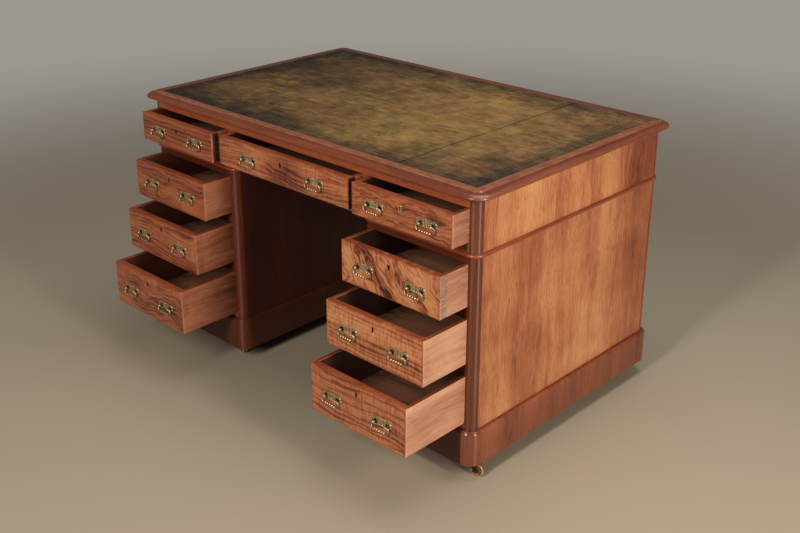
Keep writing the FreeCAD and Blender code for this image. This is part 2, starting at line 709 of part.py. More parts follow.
def bail(label, x, y, z):
    """A bail handle: one bent rod whose ends turn in its two posts."""
    body = new_body(label)
    tip = s.post_spacing / 2 - s.post_radius - s.bail_pin_stop
    leg_x = s.post_spacing / 2 + s.post_radius + s.bail_shoulder
    shoulder_x = leg_x - s.bail_shoulder
    drop = s.bail_shoulder + s.bail_leg + s.bail_corner
    corner_z = drop - s.bail_corner
    grip_x = leg_x - s.bail_corner
    zero = as_size(0)
    points = [
        (-tip, zero), (-shoulder_x, zero),
        (-leg_x, -s.bail_shoulder), (-leg_x, -corner_z),
        (-grip_x, -drop), (grip_x, -drop),
        (leg_x, -corner_z), (leg_x, -s.bail_shoulder),
        (shoulder_x, zero), (tip, zero),
    ]
    centres = [
        (-shoulder_x, -s.bail_shoulder), (-grip_x, -corner_z),
        (grip_x, -corner_z), (shoulder_x, -s.bail_shoulder),
    ]
    path = new_sketch(body, "path", "XZ_Plane")
    straights = len(points) // 2
    for number in range(straights):
        path.addGeometry(Part.LineSegment(vector(points[2 * number]), vector(points[2 * number + 1])))
    for number, centre in enumerate(centres):
        start = vector(points[2 * number + 1])
        end = vector(points[2 * number + 2])
        middle = vector(centre)
        radius = (start - middle).Length
        outward = (start + end) / 2 - middle
        path.addGeometry(Part.Arc(start, middle + outward / outward.Length * radius, end))
    for number in range(straights):
        pin_point(path, number, 1, points[2 * number])
        pin_point(path, number, 2, points[2 * number + 1])
    for number, centre in enumerate(centres):
        pin_point(path, straights + number, 3, centre)
    section = new_sketch(body, "section", "YZ_Plane")
    upright = FreeCAD.Vector(0, 0, 1)
    section.addGeometry(Part.Circle(FreeCAD.Vector(0, 0, 0), upright, s.bail_rod_radius.value))
    section.addConstraint(Sketcher.Constraint("Coincident", 0, 3, -1, 1))
    radius = section.addConstraint(Sketcher.Constraint("Radius", 0, s.bail_rod_radius.value))
    section.setExpression(f"Constraints[{radius}]", s.bail_rod_radius.text)
    bind(section, "AttachmentOffset.Base.z", -tip)
    doc.recompute()
    sweep = body.newObject("PartDesign::AdditivePipe", f"{body.Name}_sweep")
    sweep.Profile = section
    sweep.Spine = (path, [f"Edge{number + 1}" for number in range(len(path.Shape.Edges))])
    place(body, x, y, z)
    return node(label, body)


def drawer(name, x, z, height, opening, handle_inset, handle_drop):
    """A drawer with its box of boards, its brass fittings and its two bails."""
    left = x[0] + s.drawer_side_gap
    right = x[1] - s.drawer_side_gap
    low = z + s.drawer_run_gap
    high = low + height
    face = front_y - opening
    box_y = (face + s.front_thickness, face + s.drawer_depth)
    back_y = box_y[1] - s.drawer_back_thickness
    inside = (left + s.drawer_side_thickness, right - s.drawer_side_thickness)
    bottom_z = (low + s.drawer_bottom_rise, low + s.drawer_bottom_rise + s.drawer_bottom_thickness)
    middle = (left + right) / 2
    key_z = high - s.keyhole_drop
    pivot_z = high - handle_drop
    nut_y = face + s.front_thickness
    holes = []
    fittings = []
    for mark, handle_x in (("left", left + handle_inset), ("right", right - handle_inset)):
        handle = f"{name}_{mark}_handle"
        fittings.append(handle_plate(f"{handle}_plate", handle_x, face, pivot_z))
        for post_mark, side in SIDES.items():
            post = f"{handle}_{post_mark}_post"
            post_x = handle_x + s.post_spacing / 2 * side
            fittings.append(handle_post(post, post_x, face, pivot_z))
            fittings.append(handle_nut(f"{post}_nut", post_x, nut_y, pivot_z))
            holes.append(rod_inward(f"{post}_way", (post_x, face, pivot_z), s.front_thickness,
                                    s.shank_radius + s.shank_gap))
        bail(f"{name}_{mark}_bail", handle_x, face - s.plate_thickness - s.post_reach, pivot_z)
    lock_x = (middle - s.lock_width / 2, middle + s.lock_width / 2)
    lock_y = (box_y[0] - s.lock_depth, box_y[0])
    lock_z = (high - s.lock_height, high)
    mortise = board(f"{name}_mortise", (lock_x[0] - s.lock_gap, lock_x[1] + s.lock_gap),
                    (lock_y[0] - s.lock_gap, lock_y[1]), (lock_z[0] - s.lock_gap, lock_z[1]))
    holes.append(mortise)
    key_depth = s.front_thickness - s.lock_depth - s.lock_gap
    holes.append(keyhole(f"{name}_key_way", middle, face, key_z, key_depth, s.escutcheon_wall))
    thread = keyhole(f"{name}_thread_blank", middle, face, key_z, s.escutcheon_depth, s.escutcheon_wall)
    key_hole = keyhole(f"{name}_key_hole", middle, face, key_z, s.escutcheon_depth, as_size(0))
    fittings.append(cut(f"{name}_escutcheon", thread, [key_hole]))
    bolt_x = (middle - s.bolt_width / 2, middle + s.bolt_width / 2)
    bolt_middle = lock_y[1] - s.lock_depth / 2
    bolt_y = (bolt_middle - s.bolt_depth / 2, bolt_middle + s.bolt_depth / 2)
    bolt_z = (high - s.bolt_height, high)
    bolt_way = board(f"{name}_bolt_way", (bolt_x[0] - s.lock_gap, bolt_x[1] + s.lock_gap),
                     (bolt_y[0] - s.lock_gap, bolt_y[1] + s.lock_gap), (bolt_z[0] - s.lock_gap, bolt_z[1]))
    lock_case = board(f"{name}_lock_blank", lock_x, lock_y, lock_z)
    fittings.append(cut(f"{name}_lock", lock_case, [bolt_way]))
    fittings.append(board(f"{name}_bolt", bolt_x, bolt_y, bolt_z))
    blank = board(f"{name}_front_blank", (left, right), (face, box_y[0]), (low, high))
    pieces = [
        cut(f"{name}_front", blank, holes),
        board(f"{name}_left_side", (left, inside[0]), box_y, (low, high)),
        board(f"{name}_right_side", (inside[1], right), box_y, (low, high)),
        board(f"{name}_bottom", inside, box_y, bottom_z),
        board(f"{name}_back", inside, (back_y, box_y[1]), (bottom_z[1], high - s.drawer_back_drop)),
    ]
    node(f"{name}_drawer", gathered(f"{name}_drawer", pieces))
    node(f"{name}_fittings", gathered(f"{name}_fittings", fittings))


def drawer_places():
    """What each drawer needs: three in the frieze and three in each pedestal."""
    frieze_out = inner_x + s.divider_width
    places = []
    for name, x, opening, inset in (
            ("frieze_left", on_side(-1, frieze_out, opening_out), s.frieze_left_open, s.handle_inset),
            ("frieze_centre", (-inner_x, inner_x), s.frieze_centre_open, s.centre_handle_inset),
            ("frieze_right", on_side(1, frieze_out, opening_out), s.frieze_right_open, s.handle_inset)):
        places.append((name, x, frieze_z, s.frieze_drawer_height, opening, inset, s.frieze_handle_drop))
    openings = {
        "left": (s.left_upper_open, s.left_middle_open, s.left_lower_open),
        "right": (s.right_upper_open, s.right_middle_open, s.right_lower_open),
    }
    levels = (
        ("upper", upper_z, s.upper_drawer_height, s.upper_handle_drop),
        ("middle", middle_z, s.middle_drawer_height, s.middle_handle_drop),
        ("lower", lower_z, s.lower_drawer_height, s.lower_handle_drop),
    )
    for mark, side in SIDES.items():
        x = on_side(side, opening_in, opening_out)
        for (level, z, height, drop), opening in zip(levels, openings[mark]):
            places.append((f"{mark}_{level}", x, z, height, opening, s.handle_inset, drop))
    return places


def cupboard_door(mark, side):
    """A framed cupboard door whose outer stile is rounded about its pivot pins."""
    name = f"{mark}_door"
    x = on_side(side, opening_in + s.door_gap, opening_out - s.door_gap)
    y = (rear_y - s.door_thickness, rear_y)
    z = (lower_z + s.door_gap, upper_top - s.door_gap)
    pivot_x, pivot_y = door_pivot(side)
    radius = s.door_thickness / 2
    outer_edge = x[1] if side > 0 else x[0]
    inner_edge = x[0] if side > 0 else x[1]
    stile_in = outer_edge - s.door_frame_width * side
    free_in = inner_edge + s.door_frame_width * side
    flat = (stile_in, pivot_x) if side > 0 else (pivot_x, stile_in)
    stile = board(f"{name}_stile_flat", flat, y, z)
    roll = rod(f"{name}_stile_roll", (pivot_x, pivot_y, z[0]), z[1] - z[0], radius)
    pin_room = s.door_pin_length - s.door_gap + s.door_pin_gap
    bore = s.door_pin_radius + s.door_pin_gap
    sockets = [
        rod(f"{name}_low_socket", (pivot_x, pivot_y, z[0]), pin_room, bore),
        rod(f"{name}_high_socket", (pivot_x, pivot_y, z[1] - pin_room), pin_room, bore),
    ]
    free = (inner_edge, free_in) if side > 0 else (free_in, inner_edge)
    between = (free_in, stile_in) if side > 0 else (stile_in, free_in)
    panel_y = (rear_y - s.door_thickness / 2 - s.door_panel_thickness / 2,
               rear_y - s.door_thickness / 2 + s.door_panel_thickness / 2)
    knob = turned_piece(f"{name}_knob", [
        (as_size(0), as_size(0)),
        (s.knob_neck_radius, as_size(0)),
        (s.knob_neck_radius, s.knob_neck_length),
        (s.knob_radius, s.knob_neck_length + s.knob_head_length / 3),
        (s.knob_radius, s.knob_neck_length + s.knob_head_length * 2 / 3),
        (s.knob_crown_radius, s.knob_neck_length + s.knob_head_length),
        (as_size(0), s.knob_neck_length + s.knob_head_length),
    ])
    knob.Placement = turned((1, 0, 0), -90)
    place(knob, inner_edge + s.door_frame_width / 2 * side, rear_y, (z[0] + z[1]) / 2)
    pieces = [
        cut(f"{name}_hinge_stile", joined(f"{name}_stile_blank", [stile, roll]), sockets),
        board(f"{name}_free_stile", free, y, z),
        board(f"{name}_low_rail", between, y, (z[0], z[0] + s.door_frame_width)),
        board(f"{name}_high_rail", between, y, (z[1] - s.door_frame_width, z[1])),
        board(f"{name}_panel", between, panel_y, (z[0] + s.door_frame_width, z[1] - s.door_frame_width)),
        knob,
    ]
    node(name, gathered(name, pieces))


def door_pins():
    """Pivot pins of the cupboard doors, half in the case and half in the door."""
    pins = []
    for mark, side in SIDES.items():
        x, y = door_pivot(side)
        length = s.door_pin_length * 2
        for level, z in (("low", lower_z), ("high", upper_top)):
            pins.append(rod(f"{mark}_{level}_pin", (x, y, z - s.door_pin_length), length, s.door_pin_radius))
    return node("door_pivot_pins", gathered("door_pivot_pins", pins))


def castor(name, x, y, degrees):
    """A castor: a fork on a swivelling stem, and a dished wheel on its axle."""
    fork_half = s.wheel_width / 2 + s.wheel_side_gap + s.fork_thickness
    slot_half = s.wheel_width / 2 + s.wheel_side_gap
    cheeks = new_body(f"{name}_cheeks")
    sketch = new_sketch(cheeks, "side", "XZ_Plane")
    draw_outline(sketch, [
        (-s.crown_half, collar_z),
        (-s.crown_half, crown_z),
        (s.castor_trail - s.boss_radius, s.wheel_radius),
        (s.castor_trail - s.boss_radius / 2, s.wheel_radius - s.boss_radius),
        (s.castor_trail + s.boss_radius / 2, s.wheel_radius - s.boss_radius),
        (s.castor_trail + s.boss_radius, s.wheel_radius),
        (s.crown_half, collar_z),
    ])
    pad = cheeks.newObject("PartDesign::Pad", f"{name}_cheeks_pad")
    pad.Profile = sketch
    pad.Midplane = True
    bind(pad, "Length", fork_half * 2)
    reach = s.castor_trail + s.boss_radius + s.crown_half
    slot = board(f"{name}_slot", (-reach, reach), (-slot_half, slot_half), (as_size(0), crown_z))
    zero = as_size(0)
    axle_foot = (s.castor_trail, -fork_half, s.wheel_radius)
    fork = joined(f"{name}_fork", [
        cut(f"{name}_legs", cheeks, [slot]),
        rod(f"{name}_collar", (zero, zero, collar_z), s.collar_height, s.collar_radius),
        rod(f"{name}_stem", (zero, zero, collar_z), s.collar_height + s.stem_length, s.stem_radius),
        rod_inward(f"{name}_axle", axle_foot, fork_half * 2, s.axle_radius),
    ])
    fork.Placement = turned((0, 0, 1), degrees)
    place(fork, x, y, zero)
    node(f"{name}_fork", fork)
    rim_in = s.wheel_radius - s.wheel_rim
    bore = s.axle_radius + s.axle_gap
    wide = s.wheel_width
    wheel = turned_piece(f"{name}_wheel", [
        (bore, zero), (s.wheel_hub_radius, zero), (s.wheel_hub_radius, s.wheel_dish),
        (rim_in, s.wheel_dish), (rim_in, zero), (s.wheel_radius - s.wheel_round, zero),
        (s.wheel_radius, s.wheel_round), (s.wheel_radius, wide - s.wheel_round),
        (s.wheel_radius - s.wheel_round, wide), (rim_in, wide), (rim_in, wide - s.wheel_dish),
        (s.wheel_hub_radius, wide - s.wheel_dish), (s.wheel_hub_radius, wide), (bore, wide),
    ])
    turn = turned((0, 0, 1), degrees).multiply(turned((1, 0, 0), -90))
    wheel.Placement = turn
    along = math.cos(math.radians(degrees))
    across = math.sin(math.radians(degrees))
    wheel_x = x + s.castor_trail * along + wide / 2 * across
    wheel_y = y + s.castor_trail * across - wide / 2 * along
    place(wheel, wheel_x, wheel_y, s.wheel_radius)
    node(f"{name}_wheel", wheel)


def castor_places():
    """Name, swivel axis and trail direction of each of the eight castors."""
    low = inner_x - s.plinth_projection + s.castor_inset
    high = outer_x + s.plinth_projection - s.castor_inset
    depth = rear_y + s.plinth_projection - s.castor_inset
    places = []
    for mark, side in SIDES.items():
        for corner, x, y in (("outer_front", high, -depth), ("inner_front", low, -depth),
                             ("inner_rear", low, depth), ("outer_rear", high, depth)):
            places.append((f"{mark}_{corner}_castor", x * side, y, CASTOR_TURN[mark][corner]))
    return places


def check_document():
    """Stop if any object failed or any sub-part has no valid solid."""
    for item in doc.Objects:
        if "Invalid" in item.State or "Error" in item.State:
            raise RuntimeError(f"{item.Label} failed: {item.State}")
    for piece in nodes:
        if piece.Shape.isNull() or not piece.Shape.isValid() or not piece.Shape.Solids:
            raise RuntimeError(f"{piece.Label} has no valid solid")


def write_parts():
    """Write each sub-part to its own file."""
    os.makedirs("parts", exist_ok=True)
    for piece in nodes:
        piece.Shape.exportStep(f"parts/{piece.Label}.step")
        print(piece.Label, len(piece.Shape.Solids), "solids")


moulded_top()
leather_lining()
frieze_case()
for side_name, side_sign in SIDES.items():
    pedestal(f"{side_name}_pedestal", side_sign)
door_pins()
for drawer_place in drawer_places():
    drawer(*drawer_place)
for side_name, side_sign in SIDES.items():
    cupboard_door(side_name, side_sign)
for castor_name, castor_x, castor_y, castor_turn in castor_places():
    castor(castor_name, castor_x, castor_y, castor_turn)
doc.recompute()
check_document()
write_parts()
print(len(nodes), "sub-parts, desk height", desk_top.value)
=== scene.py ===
# %% [markdown]
# # A partners desk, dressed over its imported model
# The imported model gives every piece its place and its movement. This lesson puts the visible desk over it:
# walnut boards and mouldings, figured drawer fronts, a leather lining, brass handles and small castors.
# All shapes are worked out in millimetres, in the desk's own frame, and become metres in the mesh.

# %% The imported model
import math
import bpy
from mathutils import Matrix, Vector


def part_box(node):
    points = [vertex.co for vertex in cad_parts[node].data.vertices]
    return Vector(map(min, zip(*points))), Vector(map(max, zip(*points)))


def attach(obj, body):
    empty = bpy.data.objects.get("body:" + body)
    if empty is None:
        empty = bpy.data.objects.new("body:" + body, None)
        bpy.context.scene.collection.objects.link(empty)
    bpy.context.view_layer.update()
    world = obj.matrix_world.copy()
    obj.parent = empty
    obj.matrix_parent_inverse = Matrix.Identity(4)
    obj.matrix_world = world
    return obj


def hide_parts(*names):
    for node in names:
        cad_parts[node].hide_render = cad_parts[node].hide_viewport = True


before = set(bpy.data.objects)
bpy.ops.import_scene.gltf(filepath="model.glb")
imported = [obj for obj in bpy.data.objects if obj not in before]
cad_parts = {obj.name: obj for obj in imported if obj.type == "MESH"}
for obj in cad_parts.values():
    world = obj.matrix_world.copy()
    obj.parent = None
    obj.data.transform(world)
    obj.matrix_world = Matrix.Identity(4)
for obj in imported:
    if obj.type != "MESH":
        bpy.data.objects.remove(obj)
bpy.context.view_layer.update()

import zlib

import bpy
import numpy as np
from mathutils import Matrix, Vector

# %% [markdown]
# ## Nodes and colours
# A finish is a small tree of shader nodes. One function adds any node with its settings, its ramp and its
# links, so a finish reads from top to bottom as a recipe. Colours are written as sRGB hex, as a colour
# picker shows them, and turned to linear light once.

# %% Helpers for finishes
def linear(code):
    """sRGB hex to linear light: c / 12.92 for c up to 0.04045, and ((c + 0.055) / 1.055) ** 2.4 above."""
    c = np.array([int(code[i:i + 2], 16) for i in (1, 3, 5)]) / 255
    rgb = np.where(c <= 0.04045, c / 12.92, ((c + 0.055) / 1.055) ** 2.4)
    return (*rgb.tolist(), 1.0)


def add(tree, kind, inputs=None, stops=None, **settings):
    """Add a node with its settings, its ramp stops, and a value or a link for each input that is given."""
    made = tree.nodes.new("ShaderNode" + kind)
    for key, value in settings.items():
        setattr(made, key, value)
    if stops:
        ends = made.color_ramp.elements
        ends[0].position, ends[0].color = stops[0][0], linear(stops[0][1])
        ends[1].position, ends[1].color = stops[-1][0], linear(stops[-1][1])
        for position, code in stops[1:-1]:
            ends.new(position).color = linear(code)
    for key, value in (inputs or {}).items():
        if isinstance(value, bpy.types.Node):
            value = value.outputs[0]
        if isinstance(value, bpy.types.NodeSocket):
            tree.links.new(value, made.inputs[key])
        else:
            made.inputs[key].default_value = value
    return made


def start(name):
    """A new material with an empty node tree."""
    material = bpy.data.materials.new(name)
    material.use_nodes = True
    material.node_tree.nodes.clear()
    return material, material.node_tree


print("a mid walnut brown in linear light:", [round(c, 3) for c in linear("#9a5c3c")[:3]])

# %% [markdown]
# ## Floor, lights and camera
# The desk stands on a plain pale floor in a studio. A tall narrow lamp to its right makes the end of the desk
# its brightest side; another, higher up in front, lights the drawers, which throw shade on the plinths below
# them. Each of the two draws a bright line down every rounded corner. A weak lamp overhead fills in. Far away,
# where the lamps don't reach, the floor is shown as pale as a lit backdrop. The camera stands to the front
# right, a little above the top.

# %% Floor
FLOOR_REACH = 14.0          # metres from the desk to the edge of the floor
BACKDROP = (1.4, 4.5)       # metres from the desk at which the floor starts and ends turning into the backdrop

scene = bpy.context.scene
scene.view_settings.view_transform = "Standard"

paint, tree = start("pale_floor_paint")
lit = add(tree, "BsdfPrincipled", {"Base Color": linear("#a99d89"), "Roughness": 0.75})
drop = add(tree, "Emission", {"Color": linear("#9c978f")})
ray = add(tree, "LightPath").outputs
seen = add(tree, "Math", {0: ray["Is Camera Ray"], 1: ray["Is Glossy Ray"]}, operation="ADD")
seen = add(tree, "Math", {0: seen, 1: ray["Is Transmission Ray"]}, operation="ADD")
place = add(tree, "TexCoord").outputs["Object"]
away = add(tree, "VectorMath", {0: place}, operation="LENGTH").outputs["Value"]
far = add(tree, "MapRange", {"Value": away, "From Min": BACKDROP[0], "From Max": BACKDROP[1]},
          interpolation_type="SMOOTHSTEP")
shown = add(tree, "Math", {0: seen, 1: far}, operation="MULTIPLY", use_clamp=True)
surface = add(tree, "MixShader", {0: shown, 1: lit, 2: drop})
add(tree, "OutputMaterial", {"Surface": surface})
ground = bpy.data.meshes.new("floor")
square = np.array([(-1, -1, 0), (1, -1, 0), (1, 1, 0), (-1, 1, 0)]) * FLOOR_REACH
ground.from_pydata(square.tolist(), [], [(0, 1, 2, 3)])
ground.materials.append(paint)
floor = bpy.data.objects.new("floor", ground)
scene.collection.objects.link(floor)
print("floor", 2 * FLOOR_REACH, "metres wide")

# %% Lights
world = bpy.data.worlds.new("studio")
scene.world = world
world.use_nodes = True
background = world.node_tree.nodes["Background"].inputs
background["Color"].default_value = linear("#d9d6d2")
background["Strength"].default_value = 0.12

# Each lamp's name, place, target, width and height in metres, watts and colour.
LAMPS = [
    ("right_lamp", (3.3, -0.72, 1.3), (0.5, -0.2, 0.45), 0.45, 2.2, 72, "#fff1e2"),
    ("front_lamp", (0.8, -3.6, 2.35), (0.3, -0.4, 0.4), 0.45, 1.7, 92, "#fff5ea"),
    ("top_lamp", (0.5, 0.4, 3.4), (0.1, 0, 0.7), 2.2, 2.2, 42, "#ffffff"),
]
for name, place, target, width, height, watts, code in LAMPS:
    lamp = bpy.data.lights.new(name, "AREA")
    lamp.shape, lamp.size, lamp.size_y = "RECTANGLE", width, height
    lamp.energy, lamp.color = watts, linear(code)[:3]
    stand = bpy.data.objects.new(name, lamp)
    aim = (Vector(target) - Vector(place)).to_track_quat("-Z", "Y")
    stand.matrix_world = Matrix.Translation(place) @ aim.to_matrix().to_4x4()
    scene.collection.objects.link(stand)
print(len(LAMPS), "lamps")

# %% Camera
CAMERA_PLACE, CAMERA_TURN, CAMERA_DIP = (2.1294, -2.2332, 1.6552), 43.8, 21.75
camera = bpy.data.objects.new("camera", bpy.data.cameras.new("camera"))
camera.data.lens, camera.data.sensor_width = 50, 36
camera.data.shift_x, camera.data.shift_y = 0.008, -0.0585
camera.matrix_world = (Matrix.Translation(CAMERA_PLACE) @ Matrix.Rotation(math.radians(CAMERA_TURN), 4, "Z")
                       @ Matrix.Rotation(math.radians(90 - CAMERA_DIP), 4, "X"))
scene.collection.objects.link(camera)
scene.camera = camera
print("camera at", [round(v, 2) for v in camera.matrix_world.translation])

# %% [markdown]
# ## Skins from rings
# Almost every piece of the desk can be drawn as a row of rings: a board is a rectangle carried along its
# grain, a knob is a row of circles, a moulding is its section carried round a corner. So one function skins
# a whole array of rings at once. Each point also carries marks that the finishes read: where it lies in the
# timber, how much its edge is worn, and the tone of its board.

# %% Rings to a mesh
CREASE = math.radians(50)      # an edge that bends more than this stays crisp
LOG = 3000.0                   # mm of log, either way, that a board may be cut from


def shell(rings, closed=False, **marks):
    """Skin rings of points: quads join ring i to i + 1 and point j to j + 1, with a flat cap on both ends.

    Closed rings join the last ring to the first instead. A skin whose signed volume, the sum of
    p0 . (p1 x p2) over its triangles, is negative is turned right side out.
    """
    count, around = rings.shape[:2]
    points = rings.reshape(-1, 3)
    index = np.arange(count * around).reshape(count, around)
    rows = np.vstack([index, index[:1]]) if closed else index
    after = np.roll(rows, -1, 1)
    quads = np.stack([rows[:-1], after[:-1], after[1:], rows[1:]], -1).reshape(-1, 4)
    faces = [quads] if closed else [quads, index[:1, ::-1], index[-1:]]
    volume = 0.0
    for face in faces:
        p = (points - points.mean(0))[face]
        volume += np.einsum("fi,fki->", p[:, 0], np.cross(p[:, 1:-1], p[:, 2:]))
    if volume < 0:
        faces = [face[:, ::-1] for face in faces]
    return {"points": points, "faces": faces, "marks": marks}


def timber(name, rings, axis, wear=0.0, grain=None, closed=False, apart=True):
    """A skin with its timber marks: grain in mm along, across and through the board, edge wear, and tone.

    Each board is cut from another part of the log: its name seeds how far its grain is shifted.
    """
    points = rings.reshape(-1, 3)
    log = np.random.default_rng(zlib.crc32(name.encode()))
    lie = points[:, [axis, (axis + 1) % 3, (axis + 2) % 3]] if grain is None else grain.reshape(-1, 3)
    shift = log.uniform(-LOG, LOG, 3) * apart
    worn = np.broadcast_to(wear, rings.shape[:2]).ravel()
    return shell(rings, closed, grain=lie + shift, wear=worn, tone=np.full(len(points), log.uniform(-1, 1)))


def piece(name, shells, finish, body, slot, *nodes):
    """One object from several skins of one finish, riding on a body and standing for the CAD nodes named."""
    starts = np.cumsum([0] + [len(part["points"]) for part in shells])
    faces = [face + first for part, first in zip(shells, starts) for face in part["faces"]]
    corners = np.concatenate([face.ravel() for face in faces])
    sides = np.concatenate([np.full(len(face), face.shape[1]) for face in faces])
    mesh = bpy.data.meshes.new(name)
    mesh.vertices.add(starts[-1])
    mesh.vertices.foreach_set("co", np.concatenate([part["points"] for part in shells]).ravel() * 0.001)
    mesh.loops.add(len(corners))
    mesh.loops.foreach_set("vertex_index", corners)
    mesh.polygons.add(len(sides))
    mesh.polygons.foreach_set("loop_start", np.cumsum(sides) - sides)
    mesh.polygons.foreach_set("use_smooth", np.ones(len(sides), bool))
    mesh.update(calc_edges=True)
    mesh.set_sharp_from_angle(angle=CREASE)
    for mark in shells[0]["marks"]:
        values = np.concatenate([part["marks"][mark] for part in shells])
        kind, key = ("FLOAT_VECTOR", "vector") if values.ndim == 2 else ("FLOAT", "value")
        mesh.attributes.new(mark, kind, "POINT").data.foreach_set(key, values.ravel())
    mesh.materials.append(finish)
    made = bpy.data.objects.new(name, mesh)
    scene.collection.objects.link(made)
    made.modifiers.new("flat_faces", "WEIGHTED_NORMAL").keep_sharp = True
    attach(made, body)
    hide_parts(*nodes)
    return made


def fixed(name, shells, finish, *nodes):
    """A walnut piece of the carcass, which stands still."""
    return piece(name, shells, finish, "carcass", "walnut_carcass", *nodes)


print("skins from rings are ready")

# %% [markdown]
# ## Boards and mouldings
# Planed timber never has a sharp edge: it is eased with a plane and then worn by hands. A board here is a
# stack of rounded rectangles along its grain, with extra rings near each edge for the bevel and for the
# worn strip beside it. A moulding is a closed section carried along one side of a rounded rectangle.

# %% Boards
EASE = 1 - math.sqrt(0.5)      # share of an edge's radius that its middle point is cut back


def quarter(turns):
    """Matrix that turns rows of plan points by so many quarter turns."""
    return np.linalg.matrix_power(np.array([[0, -1], [1, 0]]), turns).T


def rim(up, across):
    """Unit outline of a rounded rectangle: each side's inner points, then three points round its corner.

    A point of a rectangle with half sizes h and corner radius r is q * (h - r) + r * n, with q on the unit
    square and n the way that the edge faces there.
    """
    q, n = [], []
    for side in range(4):
        turn = quarter(side)
        t = np.asarray(across if side % 2 else up, float)
        bend = np.radians(np.r_[np.zeros(len(t)), 0, 45, 90])
        q.append(np.stack([np.ones(len(t) + 3), np.r_[t, 1, 1, 1]], 1) @ turn)
        n.append(np.stack([np.cos(bend), np.sin(bend)], 1) @ turn)
    return np.concatenate(q), np.concatenate(n)


def board(name, x, y, z, grain, bevel=1.2, wear=9.0, apart=True):
    """A planed board between its faces: rounded rectangles q * (h - r) + r * n stacked along the grain.

    The grain is measured along the board, then across its wide way, then through its thickness.
    """
    low, high = np.array([x, y, z], float).T
    axis = "xyz".index(grain)
    a, b = (axis + 1) % 3, (axis + 2) % 3
    half = (high - low) / 2
    r = min(bevel, 0.4 * half.min())
    strip = np.minimum(wear, 0.45 * half)
    plain = 1 - strip / half
    q, n = rim(np.array([-1, 1]) * plain[b], np.array([-1, 1]) * plain[a])
    # Rings from the end of the board inwards: two on the end grain, two round the edge, one beyond the worn strip.
    inset = np.array([max(0.6 * min(strip[a], strip[b]), 1.6 * r), r, EASE * r, 0, 0])
    along = np.array([0, 0, EASE * r, r, max(strip[axis], 1.5 * r)])
    corner = np.array([0.4, 0.4, 0.75, 1, 1]) * r
    worn_ring = np.array([0, 1, 1, 1, 0])
    inset, corner, worn_ring = (np.r_[v, v[::-1]][:, None] for v in (inset, corner, worn_ring))
    rings = np.empty((10, len(q), 3))
    rings[:, :, axis] = np.r_[along - half[axis], half[axis] - along[::-1]][:, None]
    rings[:, :, a] = q[:, 0] * (half[a] - inset - corner) + corner * n[:, 0]
    rings[:, :, b] = q[:, 1] * (half[b] - inset - corner) + corner * n[:, 1]
    rings += (high + low) / 2
    worn_point = np.tile([0, 0, 1, 1, 1], 4)
    wide, thin = (a, b) if half[a] > half[b] else (b, a)
    worn = np.maximum(worn_ring, worn_point)
    return timber(name, rings, axis, worn, rings[:, :, [axis, wide, thin]], apart=apart)


def post(name, outline, z, wear=0.0):
    """An upright piece of one plan: the outline at its foot and again at its head."""
    rings = np.stack([np.column_stack([outline, np.full(len(outline), level)]) for level in z])
    return timber(name, rings, 2, wear)


def moulding(name, section, length, depth, radius, middle, turns, left, right, wear, upright=False):
    """A section of (inset, height) carried along the front of a rounded rectangle, from corner to corner.

    At inset d the corner radius is max(radius - d, 1.2). A point stands at the corner's centre plus that
    radius times (cos, sin) of its angle; the left and right angles say how far round each corner it goes.
    """
    inset, height = np.array(section, float).T
    corner = np.maximum(radius - inset, 1.2)
    angle = np.radians(np.r_[left, right])[:, None]
    side = np.r_[-np.ones(len(left)), np.ones(len(right))][:, None]
    x = side * (length / 2 - inset - corner) + corner * np.cos(angle)
    y = -(depth / 2 - inset - corner) + corner * np.sin(angle)
    up = np.broadcast_to(height, x.shape)
    run = x + side * radius * (angle - 1.5 * math.pi)
    plan = np.stack([x, y], -1) @ quarter(turns) + np.asarray(middle)
    grain = np.stack([run, up + 0.7 * inset, np.broadcast_to(inset, x.shape)], -1)
    grain = grain[:, :, [1, 0, 2]] if upright else grain
    return timber(name, np.concatenate([plan, up[..., None]], -1), 0, np.broadcast_to(wear, x.shape), grain)


probe = board("probe", (0, 100), (0, 40), (0, 10), "x")
print("a board has", len(probe["points"]), "points and", sum(len(face) for face in probe["faces"]), "faces")

# %% [markdown]
# ## Walnut
# The desk is walnut: plain straight stuff for columns and mouldings, wide veneers on the ends, and figured
# veneer on the drawers. Walnut shows thin dark growth lines, slow flames of heartwood, fine fibres and open
# pores, under a rubbed shellac polish that is warm, smooth and worn along the edges. One recipe serves all of
# them: the marks give the place in the timber, a height grows across it and is bent by noise, and a sharpened
# sine of that height draws the growth lines. All effects add up to one depth of colour, which a ramp turns
# brown.

